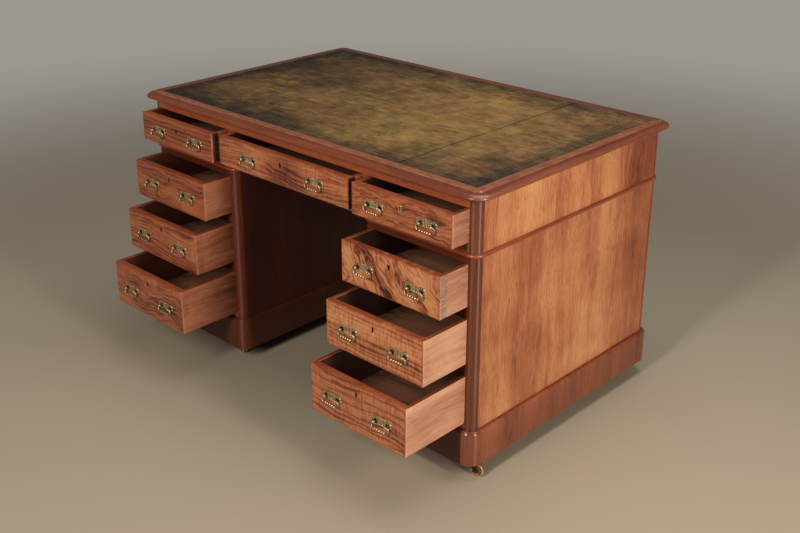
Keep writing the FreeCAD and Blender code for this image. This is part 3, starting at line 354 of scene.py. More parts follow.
# %% Figure of the timber
def timber_figure(tree, seed, angle=0.0, spacing=13, swirl=1.0, streak=0.2, sharp=3.0, length=420, width=60, wander=8,
                  bend=150, burr=0.0, ripple=0.0, cloud=0.7, fibre=0.4, blotch=0.0, bands=()):
    """Walnut's depth of colour: h = across / spacing + swirl * noise + burr * distance to the nearest burr eye.

    Depth = 0.55 - streak * ((1 + sin 2 pi h) / 2) ** sharp + weighted noises - dark bands.
    Lengths are in mm: the line spacing, the figure's length and width, how far and how widely it wanders. A band
    is a dark streak across a front, or painted shade along a drawer side: its angle, its distance from the middle,
    its half width and its strength.
    """
    grain = add(tree, "Attribute", attribute_name="grain").outputs["Vector"]
    turned = add(tree, "VectorRotate", {"Vector": grain, "Angle": math.radians(angle)}, rotation_type="Z_AXIS")
    drift = add(tree, "TexNoise", {"Vector": turned, "W": seed, "Scale": 1 / bend, "Detail": 2.0},
                noise_dimensions="4D").outputs["Color"]
    push = add(tree, "VectorMath", {0: drift, 1: (0.5, 0.5, 0.5)}, operation="SUBTRACT")
    bent = add(tree, "VectorMath", {0: push, 1: (4 * wander,) * 3, 2: turned}, operation="MULTIPLY_ADD")

    # Noises drawn out along the grain: a cell's length and width in mm, then seed, scale and detail. Real fibres
    # are under a millimetre wide, and pores half as wide as these, which are as fine as the picture can show.
    cells = {"layer": (length, width, seed + 3, 1.0, 2.0), "flames": (length, width, seed + 5, 0.7, 3.0),
             "fibres": (130, 3.0, seed, 1.0, 2.0), "pores": (30, 1.3, seed + 7, 1.0, 1.0)}
    if ripple:
        # Cross ripple, where the fibres weave in and out every 5 mm or so.
        cells["ripple"] = (5.0, 30, seed, 1.0, 1.0)
    noise = {}
    for mark, (along, wide, w, scale, detail) in cells.items():
        cell = add(tree, "VectorMath", {0: bent, 1: (1 / along, 1 / wide, 1 / wide)}, operation="MULTIPLY")
        noise[mark] = add(tree, "TexNoise", {"Vector": cell, "W": w, "Scale": scale, "Detail": detail},
                          noise_dimensions="4D")

    across = add(tree, "SeparateXYZ", {"Vector": bent}).outputs["Y"]
    height = add(tree, "Math", {0: across, 1: 1 / spacing}, operation="MULTIPLY")
    height = add(tree, "Math", {0: noise["layer"], 1: 4 * swirl, 2: height}, operation="MULTIPLY_ADD")
    if burr:
        # Burr eyes, about 46 mm apart.
        eyes = add(tree, "TexVoronoi", {"Vector": bent, "W": seed, "Scale": 1 / 46}, voronoi_dimensions="4D")
        height = add(tree, "Math", {0: eyes.outputs["Distance"], 1: burr, 2: height}, operation="MULTIPLY_ADD")
    phase = add(tree, "Math", {0: height, 1: 2 * math.pi}, operation="MULTIPLY")
    wave = add(tree, "Math", {0: phase}, operation="SINE")
    wave = add(tree, "Math", {0: wave, 1: 0.5, 2: 0.5}, operation="MULTIPLY_ADD")
    line = add(tree, "Math", {0: wave, 1: sharp}, operation="POWER")
    clear = add(tree, "MapRange", {"Value": noise["flames"], "From Min": 0.36, "From Max": 0.6,
                                   "To Min": 1.0, "To Max": 0.3})
    dark = add(tree, "Math", {0: line, 1: clear}, operation="MULTIPLY")
    pores = add(tree, "MapRange", {"Value": noise["pores"], "From Min": 0.58, "From Max": 0.7})
    tone = add(tree, "Attribute", attribute_name="tone").outputs["Fac"]
    fields = [(dark, -streak), (noise["flames"], cloud), (noise["fibres"], fibre), (pores, -0.2), (tone, 0.06)]
    if ripple:
        fields.append((noise["ripple"], ripple))
    if blotch:
        # Old polish is uneven: hand-sized blotches that don't follow the grain.
        stain = add(tree, "TexNoise", {"Vector": grain, "W": seed + 9, "Scale": 1 / 140, "Detail": 4.0},
                    noise_dimensions="4D")
        fields.append((stain, blotch))
    for turn, offset, half, strength in bands:
        lean = add(tree, "VectorRotate", {"Vector": grain, "Angle": math.radians(turn)}, rotation_type="Z_AXIS")
        loose = add(tree, "VectorMath", {0: push, 1: (90, 90, 90), 2: lean}, operation="MULTIPLY_ADD")
        side = add(tree, "SeparateXYZ", {"Vector": loose}).outputs["Y"]
        off = add(tree, "Math", {0: side, 1: offset}, operation="SUBTRACT")
        off = add(tree, "Math", {0: off}, operation="ABSOLUTE")
        band = add(tree, "MapRange", {"Value": off, "From Min": half, "From Max": 0.25 * half},
                   interpolation_type="SMOOTHSTEP")
        fields.append((band, -strength))
    depth = 0.55 + 0.3 * streak - (cloud + fibre + ripple + blotch) / 2
    for field, weight in fields:
        depth = add(tree, "Math", {0: field, 1: weight, 2: depth}, operation="MULTIPLY_ADD")
    return grain, depth, noise["flames"]


print("walnut's figure is ready")

# %% Walnut finish
def walnut(name, tones, seed=0.0, scuff=0.0, edge="#96522f", rub=0.6, gloss=0.38, coat=0.25, drawn=0.0, **figure):
    """Polished walnut: a ramp of four tones over the figure's depth, with the edge colour at worn edges and in
    scuffs.

    The share of the edge colour at an edge is its wear mark times a noise between 0.35 and 1 of the rub. On most
    finishes the edge colour is bare wood; on the plinths and the drawer bottoms it is darker, painted shade.
    """
    material, tree = start(name)
    grain, depth, flames = timber_figure(tree, seed, **figure)
    colour = add(tree, "ValToRGB", {"Fac": depth}, stops=list(zip((0.0, 0.36, 0.64, 1.0), tones)))
    chips = add(tree, "TexNoise", {"Vector": grain, "Scale": 1 / 22, "Detail": 3.0})
    chance = add(tree, "MapRange", {"Value": chips, "From Min": 0.32, "From Max": 0.62,
                                    "To Min": 0.35 * rub, "To Max": rub})
    worn = add(tree, "Attribute", attribute_name="wear").outputs["Fac"]
    edge_share = [add(tree, "Math", {0: worn, 1: chance}, operation="MULTIPLY")]
    if scuff:
        # Scuffs of unpolished wood: pale smears along the grain, about 90 by 16 mm.
        smear = add(tree, "VectorMath", {0: grain, 1: (1 / 90, 1 / 16, 1 / 16)}, operation="MULTIPLY")
        smears = add(tree, "TexNoise", {"Vector": smear, "Scale": 1.0, "Detail": 4.0, "Roughness": 0.65})
        edge_share.append(add(tree, "MapRange", {"Value": smears, "From Min": 0.52, "From Max": 0.7, "To Max": scuff}))
    for share in edge_share:
        colour = add(tree, "Mix", {0: share, 6: colour, 7: linear(edge)}, data_type="RGBA").outputs[2]

    rough = add(tree, "MapRange", {"Value": flames, "From Min": 0.3, "From Max": 0.7,
                                   "To Min": gloss - 0.05, "To Max": gloss + 0.07})
    relief = add(tree, "Bump", {"Height": depth, "Strength": 0.15, "Distance": 0.0003})
    surface = add(tree, "BsdfPrincipled", {"Base Color": colour, "Roughness": rough, "IOR": 1.5, "Normal": relief,
                                           "Coat Weight": coat, "Coat Roughness": 0.12, "Coat IOR": 1.5})
    if drawn:
        # Upright pieces are rubbed round and round, which draws every highlight out along them.
        surface.inputs["Anisotropic"].default_value = drawn
        tree.links.new(add(tree, "CombineXYZ", {"Z": 1.0}).outputs[0], surface.inputs["Tangent"])
    add(tree, "OutputMaterial", {"Surface": surface})
    return material


print("walnut recipe is ready")

# %% Outer finishes
# Wide veneers of the ends: orange brown with slow upright flames, redder towards the far side.
VENEER = dict(spacing=46, swirl=0.5, streak=0.1, sharp=2.0, length=520, width=60, wander=16, bend=220, cloud=0.8,
              fibre=0.6, blotch=0.65, rub=0.3)
end_walnut = walnut("polished_walnut_ends", ("#5c2613", "#a05c38", "#c68659", "#e0ad79"), 2.0,
                    bands=((0, 310, 190, 0.14), (0, -190, 90, 0.08)), **VENEER)
# Ends of the frieze: the same veneer, redder, and darkest at its far end.
frieze_walnut = walnut("polished_walnut_frieze_ends", ("#581d0f", "#9c5231", "#c98558", "#e2ad79"), 2.4,
                       bands=((0, 385, 270, 0.34),), **VENEER)
# Panels beside the kneehole: the same veneer, painted almost black as the shade in the kneehole.
kneehole_painted_shade = walnut("painted_shade_walnut_kneehole", ("#1a0602", "#360f05", "#461607", "#5c2410"), 3.0, spacing=40,
                         length=800, width=80, cloud=0.6, rub=0.2, gloss=0.6, coat=0.0)
# Columns: straight dark heartwood with the most polish.
HEART_GRAIN = dict(spacing=8, streak=0.12, length=700, width=26, cloud=0.6, fibre=0.5)
column_walnut = walnut("polished_walnut_columns", ("#240c05", "#4d2213", "#64311d", "#82492d"), 5.0,
                       edge="#3c190d", gloss=0.34, coat=0.3, drawn=0.9, **HEART_GRAIN)
# Corners beside the kneehole and rails between the drawers: the same, redder and darker, painted as the shade there.
knee_painted_shade = walnut("painted_shade_walnut_corners", ("#260c05", "#4f200f", "#602916", "#793d24"), 5.0,
                     edge="#5c2817", gloss=0.6, coat=0.0, drawn=0.9, **HEART_GRAIN)
# Plinths under the drawers and along the kneehole: painted dark as the shade of the drawers and the kneehole.
shade_walnut = walnut("painted_shade_walnut_plinths", ("#200a04", "#3e180a", "#4d2010", "#62321a"), 5.5,
                      edge="#5c2817", gloss=0.5, coat=0.0, **HEART_GRAIN)
# Rails, beads and mouldings: red brown and straight.
RAIL_GRAIN = dict(spacing=9, streak=0.14, length=700, width=26, fibre=0.5, edge="#955033")
rail_walnut = walnut("polished_walnut_rails", ("#3d160b", "#74321b", "#8f4427", "#ae643c"), 6.0,
                     coat=0.4, **RAIL_GRAIN)
# Head rail over the frieze drawers: the same, painted lighter as light where the nose of the top shades it.
head_painted_light = walnut("painted_light_walnut_head_rail", ("#4c1d0f", "#934628", "#ad5a37", "#c67b50"), 6.2,
                     rub=0.4, coat=0.3, **RAIL_GRAIN)
# Corner blocks of the plinths: between the columns and the ends in tone.
block_walnut = walnut("polished_walnut_blocks", ("#321308", "#633020", "#7b412a", "#9a5f3e"), 6.5, spacing=20,
                      streak=0.12, length=400, width=40, cloud=0.6, edge="#4e2114", rub=0.7, gloss=0.34, coat=0.8,
                      drawn=0.9)
# Plinth ends: upright veneer a little paler and duller than the columns, with painted shade along the top.
plinth_walnut = walnut("polished_walnut_plinths", ("#41190c", "#7a402a", "#925238", "#b37650"), 7.0, spacing=30,
                       streak=0.14, length=300, width=44, wander=10, cloud=0.9, blotch=0.4, edge="#4e2114", rub=0.8,
                       gloss=0.42, coat=0.3, drawn=0.9)
# Border of the top: dark polished mouldings, and a flat strip beside the leather that arms have rubbed pale,
# in front and at the right-hand end.
border_walnut = walnut("polished_walnut_border", ("#2b0f07", "#5f2c1b", "#7a3d26", "#9c5a38"), 8.0, spacing=10,
                       length=500, width=22, cloud=0.9, fibre=0.6, edge="#b0714a", rub=0.8, gloss=0.36, coat=0.5)
print("outer finishes from", end_walnut.name, "to", border_walnut.name)

# %% Inner finishes
# Boards inside the cases: stained dark and left dull.
STAIN_AND_SHADE = ("#130602", "#2a1007", "#39170b", "#4c2413")
inside_wood = walnut("dark_inside_wood_stain_and_shade", STAIN_AND_SHADE, 9.0, rub=0.1, gloss=0.65, coat=0.0)
# Ends of the left frieze drawer: painted dark as the shade of the next drawer, with the corner pale, partly rubbed
# bare and partly a painted highlight.
painted_shade_ends = walnut("stained_drawer_ends", STAIN_AND_SHADE, 17.0, edge="#c79a82", rub=0.42, gloss=0.65, coat=0.0)
# Drawer sides: planed pale hardwood, never polished, scuffed and dusty, with painted shade darkening them towards the
# case.
LINING = dict(spacing=22, streak=0.12, length=300, width=46, cloud=0.9, blotch=0.5, scuff=0.35, edge="#d9bfa6",
              rub=0.25, gloss=0.55, coat=0.0, bands=((90, -320, 150, 0.2),))
lining_wood = walnut("plain_drawer_lining", ("#8a5640", "#b47b5d", "#cd997a", "#e2bd9e"), 12.0, **LINING)
# Sides of the upper drawers on the right: the same wood from a browner plank.
brown_lining = walnut("brown_drawer_lining", ("#784636", "#9d644b", "#b37c62", "#c8a083"), 12.5,
                      **{**LINING, "blotch": 0.6})
# Sides of the drawers on the left: the same wood, painted darker and redder as the shade of the right pedestal's
# drawers, and darkest towards the case.
shaded_red_lining = walnut("red_drawer_lining", ("#4a2114", "#8f4f34", "#ad6f50", "#c48e6c"), 13.0,
                    **{**LINING, "scuff": 0.25, "edge": "#c09878", "bands": ((90, -300, 240, 0.4),)})
# Drawer bottoms: the same wood, greyed by dust, smooth enough to catch the light, and painted darker towards the
# edges as shade from the sides and the front.
bottom_wood = walnut("dusty_drawer_bottom", ("#5a3a2f", "#90604a", "#ab795c", "#c49576"), 15.0, length=480, width=40,
                     scuff=0.15, edge="#1c0f09", rub=0.95, gloss=0.45, coat=0.0)
# End of the burr front, where the dovetails show: bare wood, greyed and chalky from knocks.
bare_wood = walnut("worn_end_grain", ("#5a3a2c", "#845f4e", "#9c7864", "#bfa290"), 16.0, spacing=9, length=20,
                   width=9, cloud=0.8, blotch=0.8, scuff=0.5, edge="#cdbdb1", rub=0.2, gloss=0.6, coat=0.0)
print("inner finishes from", inside_wood.name, "to", bare_wood.name)

# %% [markdown]
# ## The moulded top
# The top is a thick board with a mitred border round the leather. Beside the leather the border is flat, then
# a small step drops to a thumb moulding that rounds over to a nose, and a hollow runs back under it to the
# frieze. Each of the four sides is one section carried from mitre to mitre, so the grain runs along its own side.

# %% Top
TOP, CASE_TOP, LEATHER_LOW = 780.0, 752.5, 778.0
LENGTH, DEPTH, TOP_ROUND = 1319.0, 841.0, 45.0
MITRE_LEFT, MITRE_RIGHT = np.linspace(225, 270, 10), np.linspace(270, 315, 10)
RUBBED = (1.0, 1.0, 0.1, 0.1)    # how much arms have rubbed the front, the right end, the back and the left end


def top_section():
    """Section of the top's border, and the wear of each of its points.

    Flat, step, thumb (21 cos t, 9.4 sin t), nose, hollow (22.8 sin t, 11 cos t) and underside.
    """
    over, under = np.radians(np.linspace(90, 0, 10)), np.radians(np.linspace(0, 90, 8))
    flat = [(60, LEATHER_LOW), (47, LEATHER_LOW), (47, 779.6), (46.6, TOP), (40, TOP), (28, TOP), (22.6, TOP),
            (22, 779.4), (21.8, 776.6)]
    thumb = np.column_stack([21 - 21 * np.cos(over), 767 + 9.4 * np.sin(over)])
    hollow = np.column_stack([1.2 + 22.8 * np.sin(under), CASE_TOP + 11 * np.cos(under)])
    edge = [0, 0, 0.3, 0.5, 0.8, 0.9, 1, 0.6, 0] + [0] * 6 + [0.15] * 4 + [0.1] + [0] * 8 + [0, 0]
    return np.vstack([flat, thumb, (0, 764.7), hollow, [(40, CASE_TOP), (60, CASE_TOP)]]), np.array(edge)


section, worn = top_section()
sides = []
for turns in range(4):
    size = (LENGTH, DEPTH) if turns % 2 == 0 else (DEPTH, LENGTH)
    sides.append(moulding(f"top_side_{turns}", section, *size, TOP_ROUND, (0, 0), turns, MITRE_LEFT, MITRE_RIGHT,
                          worn * RUBBED[turns]))
# The ground that the leather is glued to fills the middle, let into the border.
sides.append(board("top_ground", (-603, 603), (-365, 365), (753, 777.9), "x"))
fixed("top_border", sides, border_walnut, "moulded_top")
print("top border in four mitred lengths,", len(section), "points in its section")

# %% [markdown]
# ## Leather lining
# Two skins of thin leather lie flush in the top, with a seam near the right-hand end. The hide was dyed
# green and has faded unevenly to olive and tan; two dark lines are tooled along its edge, and grime has
# darkened its margin. The mottle is several noises from hand size down to the pebble of the hide.

# %% Leather finish
HALF_X, HALF_Y, SEAM = LENGTH / 2 - 47.3, DEPTH / 2 - 47.3, 359.15
SPILL = (600, -360, 780)
DEPTHS = (0.0, 0.25, 0.45, 0.62, 0.9)
OLIVE = ("#16100a", "#42331d", "#6a512b", "#8d703b", "#b4924f")
TAN = ("#191109", "#48321d", "#765230", "#996e40", "#be9155")
hide, tree = start("aged_olive_skiver_leather")
place = add(tree, "TexCoord").outputs["Object"]
mm = add(tree, "VectorMath", {0: place, "Scale": 1000.0}, operation="SCALE")
at = add(tree, "SeparateXYZ", {"Vector": mm}).outputs
stains = add(tree, "TexNoise", {"Vector": mm, "Scale": 1 / 260, "Detail": 4.0, "Roughness": 0.6})
mottle = add(tree, "TexNoise", {"Vector": mm, "Scale": 1 / 40, "Detail": 5.0, "Roughness": 0.7})
# Rubbing along the desk draws the stains out into streaks.
wiped = add(tree, "VectorMath", {0: mm, 1: (1 / 95, 1 / 13, 1.0)}, operation="MULTIPLY")
streaks = add(tree, "TexNoise", {"Vector": wiped, "Scale": 1.0, "Detail": 3.0, "Roughness": 0.6})
# The pebble of the hide is about 1 mm; 3.5 mm is as fine as the picture can show.
pebble = add(tree, "TexNoise", {"Vector": mm, "Scale": 1 / 3.5, "Detail": 1.0})
# Painted shade: the left-hand part is the darkest, and the right-hand part a little lighter, as the light comes from
# the right.
painted_left_shade = add(tree, "MapRange", {"Value": at["X"], "From Min": -330.0, "From Max": 100.0,
                              "To Min": -0.15, "To Max": 0.06})
# A spill has darkened the front right-hand corner.
from_spill = add(tree, "VectorMath", {0: mm, 1: SPILL}, operation="DISTANCE").outputs["Value"]
loose = add(tree, "Math", {0: stains, 1: 160.0, 2: from_spill}, operation="MULTIPLY_ADD")
spill = add(tree, "MapRange", {"Value": loose, "From Min": 300.0, "From Max": 120.0, "To Max": 0.18})
# Grime gathers towards the edges, unevenly, and darkens the margin.
inward = []
for half, way in ((HALF_X, at["X"]), (HALF_Y, at["Y"])):
    out = add(tree, "Math", {0: way}, operation="ABSOLUTE")
    inward.append(add(tree, "Math", {0: half, 1: out}, operation="SUBTRACT"))
margin = add(tree, "Math", {0: inward[0], 1: inward[1]}, operation="MINIMUM")
ragged = add(tree, "Math", {0: mottle, 1: 90.0, 2: margin}, operation="MULTIPLY_ADD")
soil = add(tree, "MapRange", {"Value": ragged, "From Min": 200.0, "From Max": 45.0, "To Max": 0.17})
dirt = add(tree, "MapRange", {"Value": margin, "From Min": 42.0, "From Max": 6.0, "To Max": 0.11})
lines = [add(tree, "Math", {0: margin, 1: distance, 2: 1.9}, operation="COMPARE") for distance in (24.0, 36.0)]
from_seam = add(tree, "Math", {0: at["X"], 1: SEAM}, operation="SUBTRACT")
near_seam = add(tree, "Math", {0: from_seam}, operation="ABSOLUTE")
grime = add(tree, "MapRange", {"Value": near_seam, "From Min": 4.0, "From Max": 0.8, "To Max": 0.26})
depth = -0.49
for layer, weight in ((stains, 0.6), (mottle, 0.72), (streaks, 0.4), (pebble, 0.3), (painted_left_shade, 1.0), (spill, -1.0),
                      (soil, -1.0), (dirt, -1.0), (lines[0], -0.22), (lines[1], -0.2), (grime, -1.0)):
    depth = add(tree, "Math", {0: layer, 1: weight, 2: depth}, operation="MULTIPLY_ADD")
olive, tan = (add(tree, "ValToRGB", {"Fac": depth}, stops=list(zip(DEPTHS, codes))) for codes in (OLIVE, TAN))
dye = add(tree, "TexNoise", {"Vector": mm, "W": 4.0, "Scale": 1 / 150, "Detail": 4.0}, noise_dimensions="4D")
faded = add(tree, "MapRange", {"Value": dye, "From Min": 0.44, "From Max": 0.68})
colour = add(tree, "Mix", {0: faded, 6: olive, 7: tan}, data_type="RGBA").outputs[2]
relief = add(tree, "Bump", {"Height": pebble, "Strength": 0.35, "Distance": 0.0006})
rough = add(tree, "MapRange", {"Value": mottle, "From Min": 0.3, "From Max": 0.7, "To Min": 0.4, "To Max": 0.56})
surface = add(tree, "BsdfPrincipled", {"Base Color": colour, "Roughness": rough, "Normal": relief, "IOR": 1.48})
add(tree, "OutputMaterial", {"Surface": surface})
print("leather finish:", hide.name)

# %% Leather panels
panels = [board(f"leather_{mark}", x, (-HALF_Y, HALF_Y), (LEATHER_LOW, TOP), "x", 0.5, 0.8)
          for mark, x in (("main", (-HALF_X, SEAM - 0.15)), ("end", (SEAM + 0.15, HALF_X)))]
piece("leather_panels", panels, hide, "carcass", "desk_leather", "leather_lining")
print("leather panels", round(SEAM + HALF_X), "and", round(HALF_X - SEAM), "mm long")

# %% [markdown]
# ## Columns, panels and the frieze case
# Every corner of the desk is a quarter-round column, a hair proud of the panels beside it, which leaves a
# thin dark line. The frieze case is the box under the top: columns, two end panels, a back panel, rails above
# and below the drawers, and uprights between them. Inside it are runners, guides and dust boards.

# %% Columns
INNER, OUTER, COLUMN = 258.0, 633.5, 24.0
FRONT, REAR, PED_TOP = -394.5, 394.5, 621.0
FRIEZE_Z, FRIEZE_TOP, DUST = 649.0, 733.0, 10
DUST_LOW, DUST_TOP = PED_TOP - DUST, PED_TOP + DUST
SETBACK, PANEL = 1.2, 19.2
RAIL_DEEP, UPRIGHT = 45, 22
RAIL_BACK, PARTITION = FRONT + RAIL_DEEP, FRONT + 430
PARTITION_BACK = PARTITION + 12
RUNNER, RUNNER_HIGH, GUIDE, GUIDE_HIGH = 22, 12, 4.8, 30
OPEN_OUT, OPEN_IN = OUTER - COLUMN, INNER + COLUMN
PANEL_Y = (FRONT + COLUMN, REAR - COLUMN)
SIDES = {"left": -1, "right": 1}


def both(s, near, far):
    """Low and high X of what lies between two distances from the middle, on the left (-1) or the right (1)."""
    return sorted((s * near, s * far))


def middle_of(x):
    """Middle of the pedestal that a place along the desk belongs to."""
    return math.copysign((INNER + OUTER) / 2, x)


def column(name, x, y, z):
    """A quarter-round column: its inner corner, then COLUMN * (cos, sin) over a quarter turn outwards."""
    t = np.radians(np.linspace(0, 90, 19))
    out = np.array([np.sign(x - middle_of(x)), np.sign(y)])
    outline = np.vstack([[0, 0], COLUMN * np.column_stack([np.cos(t), np.sin(t)])]) * out + (x, y)
    return post(name, outline, z, np.r_[0, 0.6, np.zeros(17), 0.6])


print("columns of", COLUMN, "mm, openings", OPEN_OUT - OPEN_IN, "mm wide")

# %% Frieze case
corners = [column(f"frieze_column_{sx}_{sy}", sx * OPEN_OUT, sy * (REAR - COLUMN), (PED_TOP, CASE_TOP))
           for sx in (-1, 1) for sy in (-1, 1)]
uprights = [board(f"frieze_upright_{s}", both(s, INNER, INNER + UPRIGHT), (FRONT, PARTITION),
                  (FRIEZE_Z, FRIEZE_TOP), "z") for s in (-1, 1)]
sill, head = (board(f"frieze_{mark}", (-OPEN_OUT, OPEN_OUT), (FRONT, RAIL_BACK), z, "x")
              for mark, z in (("sill", (PED_TOP, FRIEZE_Z)), ("head", (FRIEZE_TOP, CASE_TOP))))
fixed("frieze_columns", corners[::2], column_walnut)
fixed("frieze_uprights", uprights + corners[1::2], rail_walnut, "frieze_case")
# The sill takes the darker border walnut: painted shade from the drawers above it.
fixed("frieze_sill", [sill], border_walnut)
fixed("frieze_head", [head], head_painted_light)

ends = [board(f"frieze_end_{s}", both(s, OUTER - PANEL, OUTER - SETBACK), PANEL_Y, (PED_TOP, CASE_TOP), "z", 0.5,
              apart=False) for s in (-1, 1)]
rear = board("frieze_back", (-OPEN_OUT, OPEN_OUT), (REAR - PANEL, REAR - SETBACK), (PED_TOP, CASE_TOP), "z", 0.5)
fixed("frieze_ends", ends, frieze_walnut)
fixed("frieze_back", [rear], end_walnut)

within = [board("frieze_dust", (-OUTER + PANEL, OUTER - PANEL), (RAIL_BACK, REAR - COLUMN), (PED_TOP, DUST_TOP), "x"),
          board("frieze_partition", (-OPEN_OUT, OPEN_OUT), (PARTITION, PARTITION_BACK), (DUST_TOP, CASE_TOP), "x")]
# Each upright stands on a runner that two drawers share; each end panel has a runner and a guide.
for s in (-1, 1):
    for mark, x, y, z in (("shared", (INNER - 10.7, INNER + 32.7), RAIL_BACK, (DUST_TOP, FRIEZE_Z)),
                          ("end", (OUTER - PANEL - RUNNER, OUTER - PANEL), RAIL_BACK, (DUST_TOP, FRIEZE_Z)),
                          ("guide", (OPEN_OUT, OUTER - PANEL), FRONT + COLUMN, (FRIEZE_Z, FRIEZE_Z + GUIDE_HIGH))):
        within.append(board(f"frieze_{mark}_{s}", both(s, *x), (y, PARTITION), z, "y"))
fixed("frieze_runners", within, inside_wood)
print("frieze case:", len(corners + uprights) + 2, "frame pieces,", len(ends) + 1, "panels,",
      len(within), "inside boards")

# %% [markdown]
# ## Pedestals
# A pedestal stands on a plinth with round corner blocks and a softly bevelled top edge. Columns and panels
# rise from it to a half-round bead that hides the joint with the frieze case. The rails between the drawers,
# the base board and the dark boards behind them close the box.

# %% Plinth and bead
PLINTH_LOW, PLINTH_TOP = 45.0, 142.0
PLINTH_OUT, PLINTH_ROUND = 12, 36
BEAD_OUT, BEAD_ROUND, BEAD_HIGH = 5.5, 29.5, 11
LEVELS = {"lower": (160.5, 293.5), "middle": (326.5, 448.5), "upper": (481.5, 593.5)}
BASE_TOP, DRAWERS_TOP = LEVELS["lower"][0], LEVELS["upper"][1]
RAILS = {"lower": (LEVELS["lower"][1], LEVELS["middle"][0]), "upper": (LEVELS["middle"][1], LEVELS["upper"][0]),
         "cap": (DRAWERS_TOP, PED_TOP)}
BLOCK_IN, BLOCK = 20, 16
# Degrees through which a moulding turns: none along a straight length, and a quarter turn round a corner.
STRAIGHT, ROUND = [270.0], np.linspace(270, 360, 11)


def plinth_section():
    """Section of the plinth and its wear mark: an upright face, a bevel eased at both ends, and a flat back. On the
    plinth ends and corner blocks the mark paints the bevel, the top under the panel and a little of the foot dark, as
    shade.
    """
    points = [(20, PLINTH_LOW), (1, PLINTH_LOW), (0, PLINTH_LOW + 1), (0, 134.5), (0.5, 135.8), (1.6, 137.2),
              (4.6, 140.4), (5.9, 141.5), (7.4, PLINTH_TOP), (20, PLINTH_TOP)]
    return np.array(points), np.array([0, 0.3, 0.3, 0, 0, 0.1, 0.2, 0.5, 1, 1])


def bead_section():
    """Section of the bead and its wear: a half circle, 0.1 mm clear of its place above and below."""
    level, half = PED_TOP - BEAD_HIGH / 2, BEAD_HIGH / 2 - 0.1
    t = np.radians(np.linspace(-90, 90, 11))
    arc = np.column_stack([BEAD_OUT - BEAD_OUT * np.cos(t), level + half * np.sin(t)])
    edge = [0, 0, 0, 0.1, 0.2, 0.3, 0.4, 0.3, 0.2, 0.1, 0, 0, 0]
    return np.vstack([(12, level - half), arc, (12, level + half)]), np.array(edge)


def belt(name, section, worn, out, radius, middle, upright=False):
    """A section carried all round a pedestal, standing out from it: four straight lengths and four round corners."""
    made = []
    for turns in range(4):
        size = [OUTER - INNER + 2 * out, REAR - FRONT + 2 * out][::1 if turns % 2 == 0 else -1]
        for part, left, right in (("length", STRAIGHT, STRAIGHT), ("corner", [], ROUND)):
            made.append(moulding(f"{name}_{part}_{turns}", section, *size, radius, middle, turns, left, right, worn,
                                 upright))
    return made


print("plinth", PLINTH_TOP - PLINTH_LOW, "mm high, bead", BEAD_HIGH, "mm high")

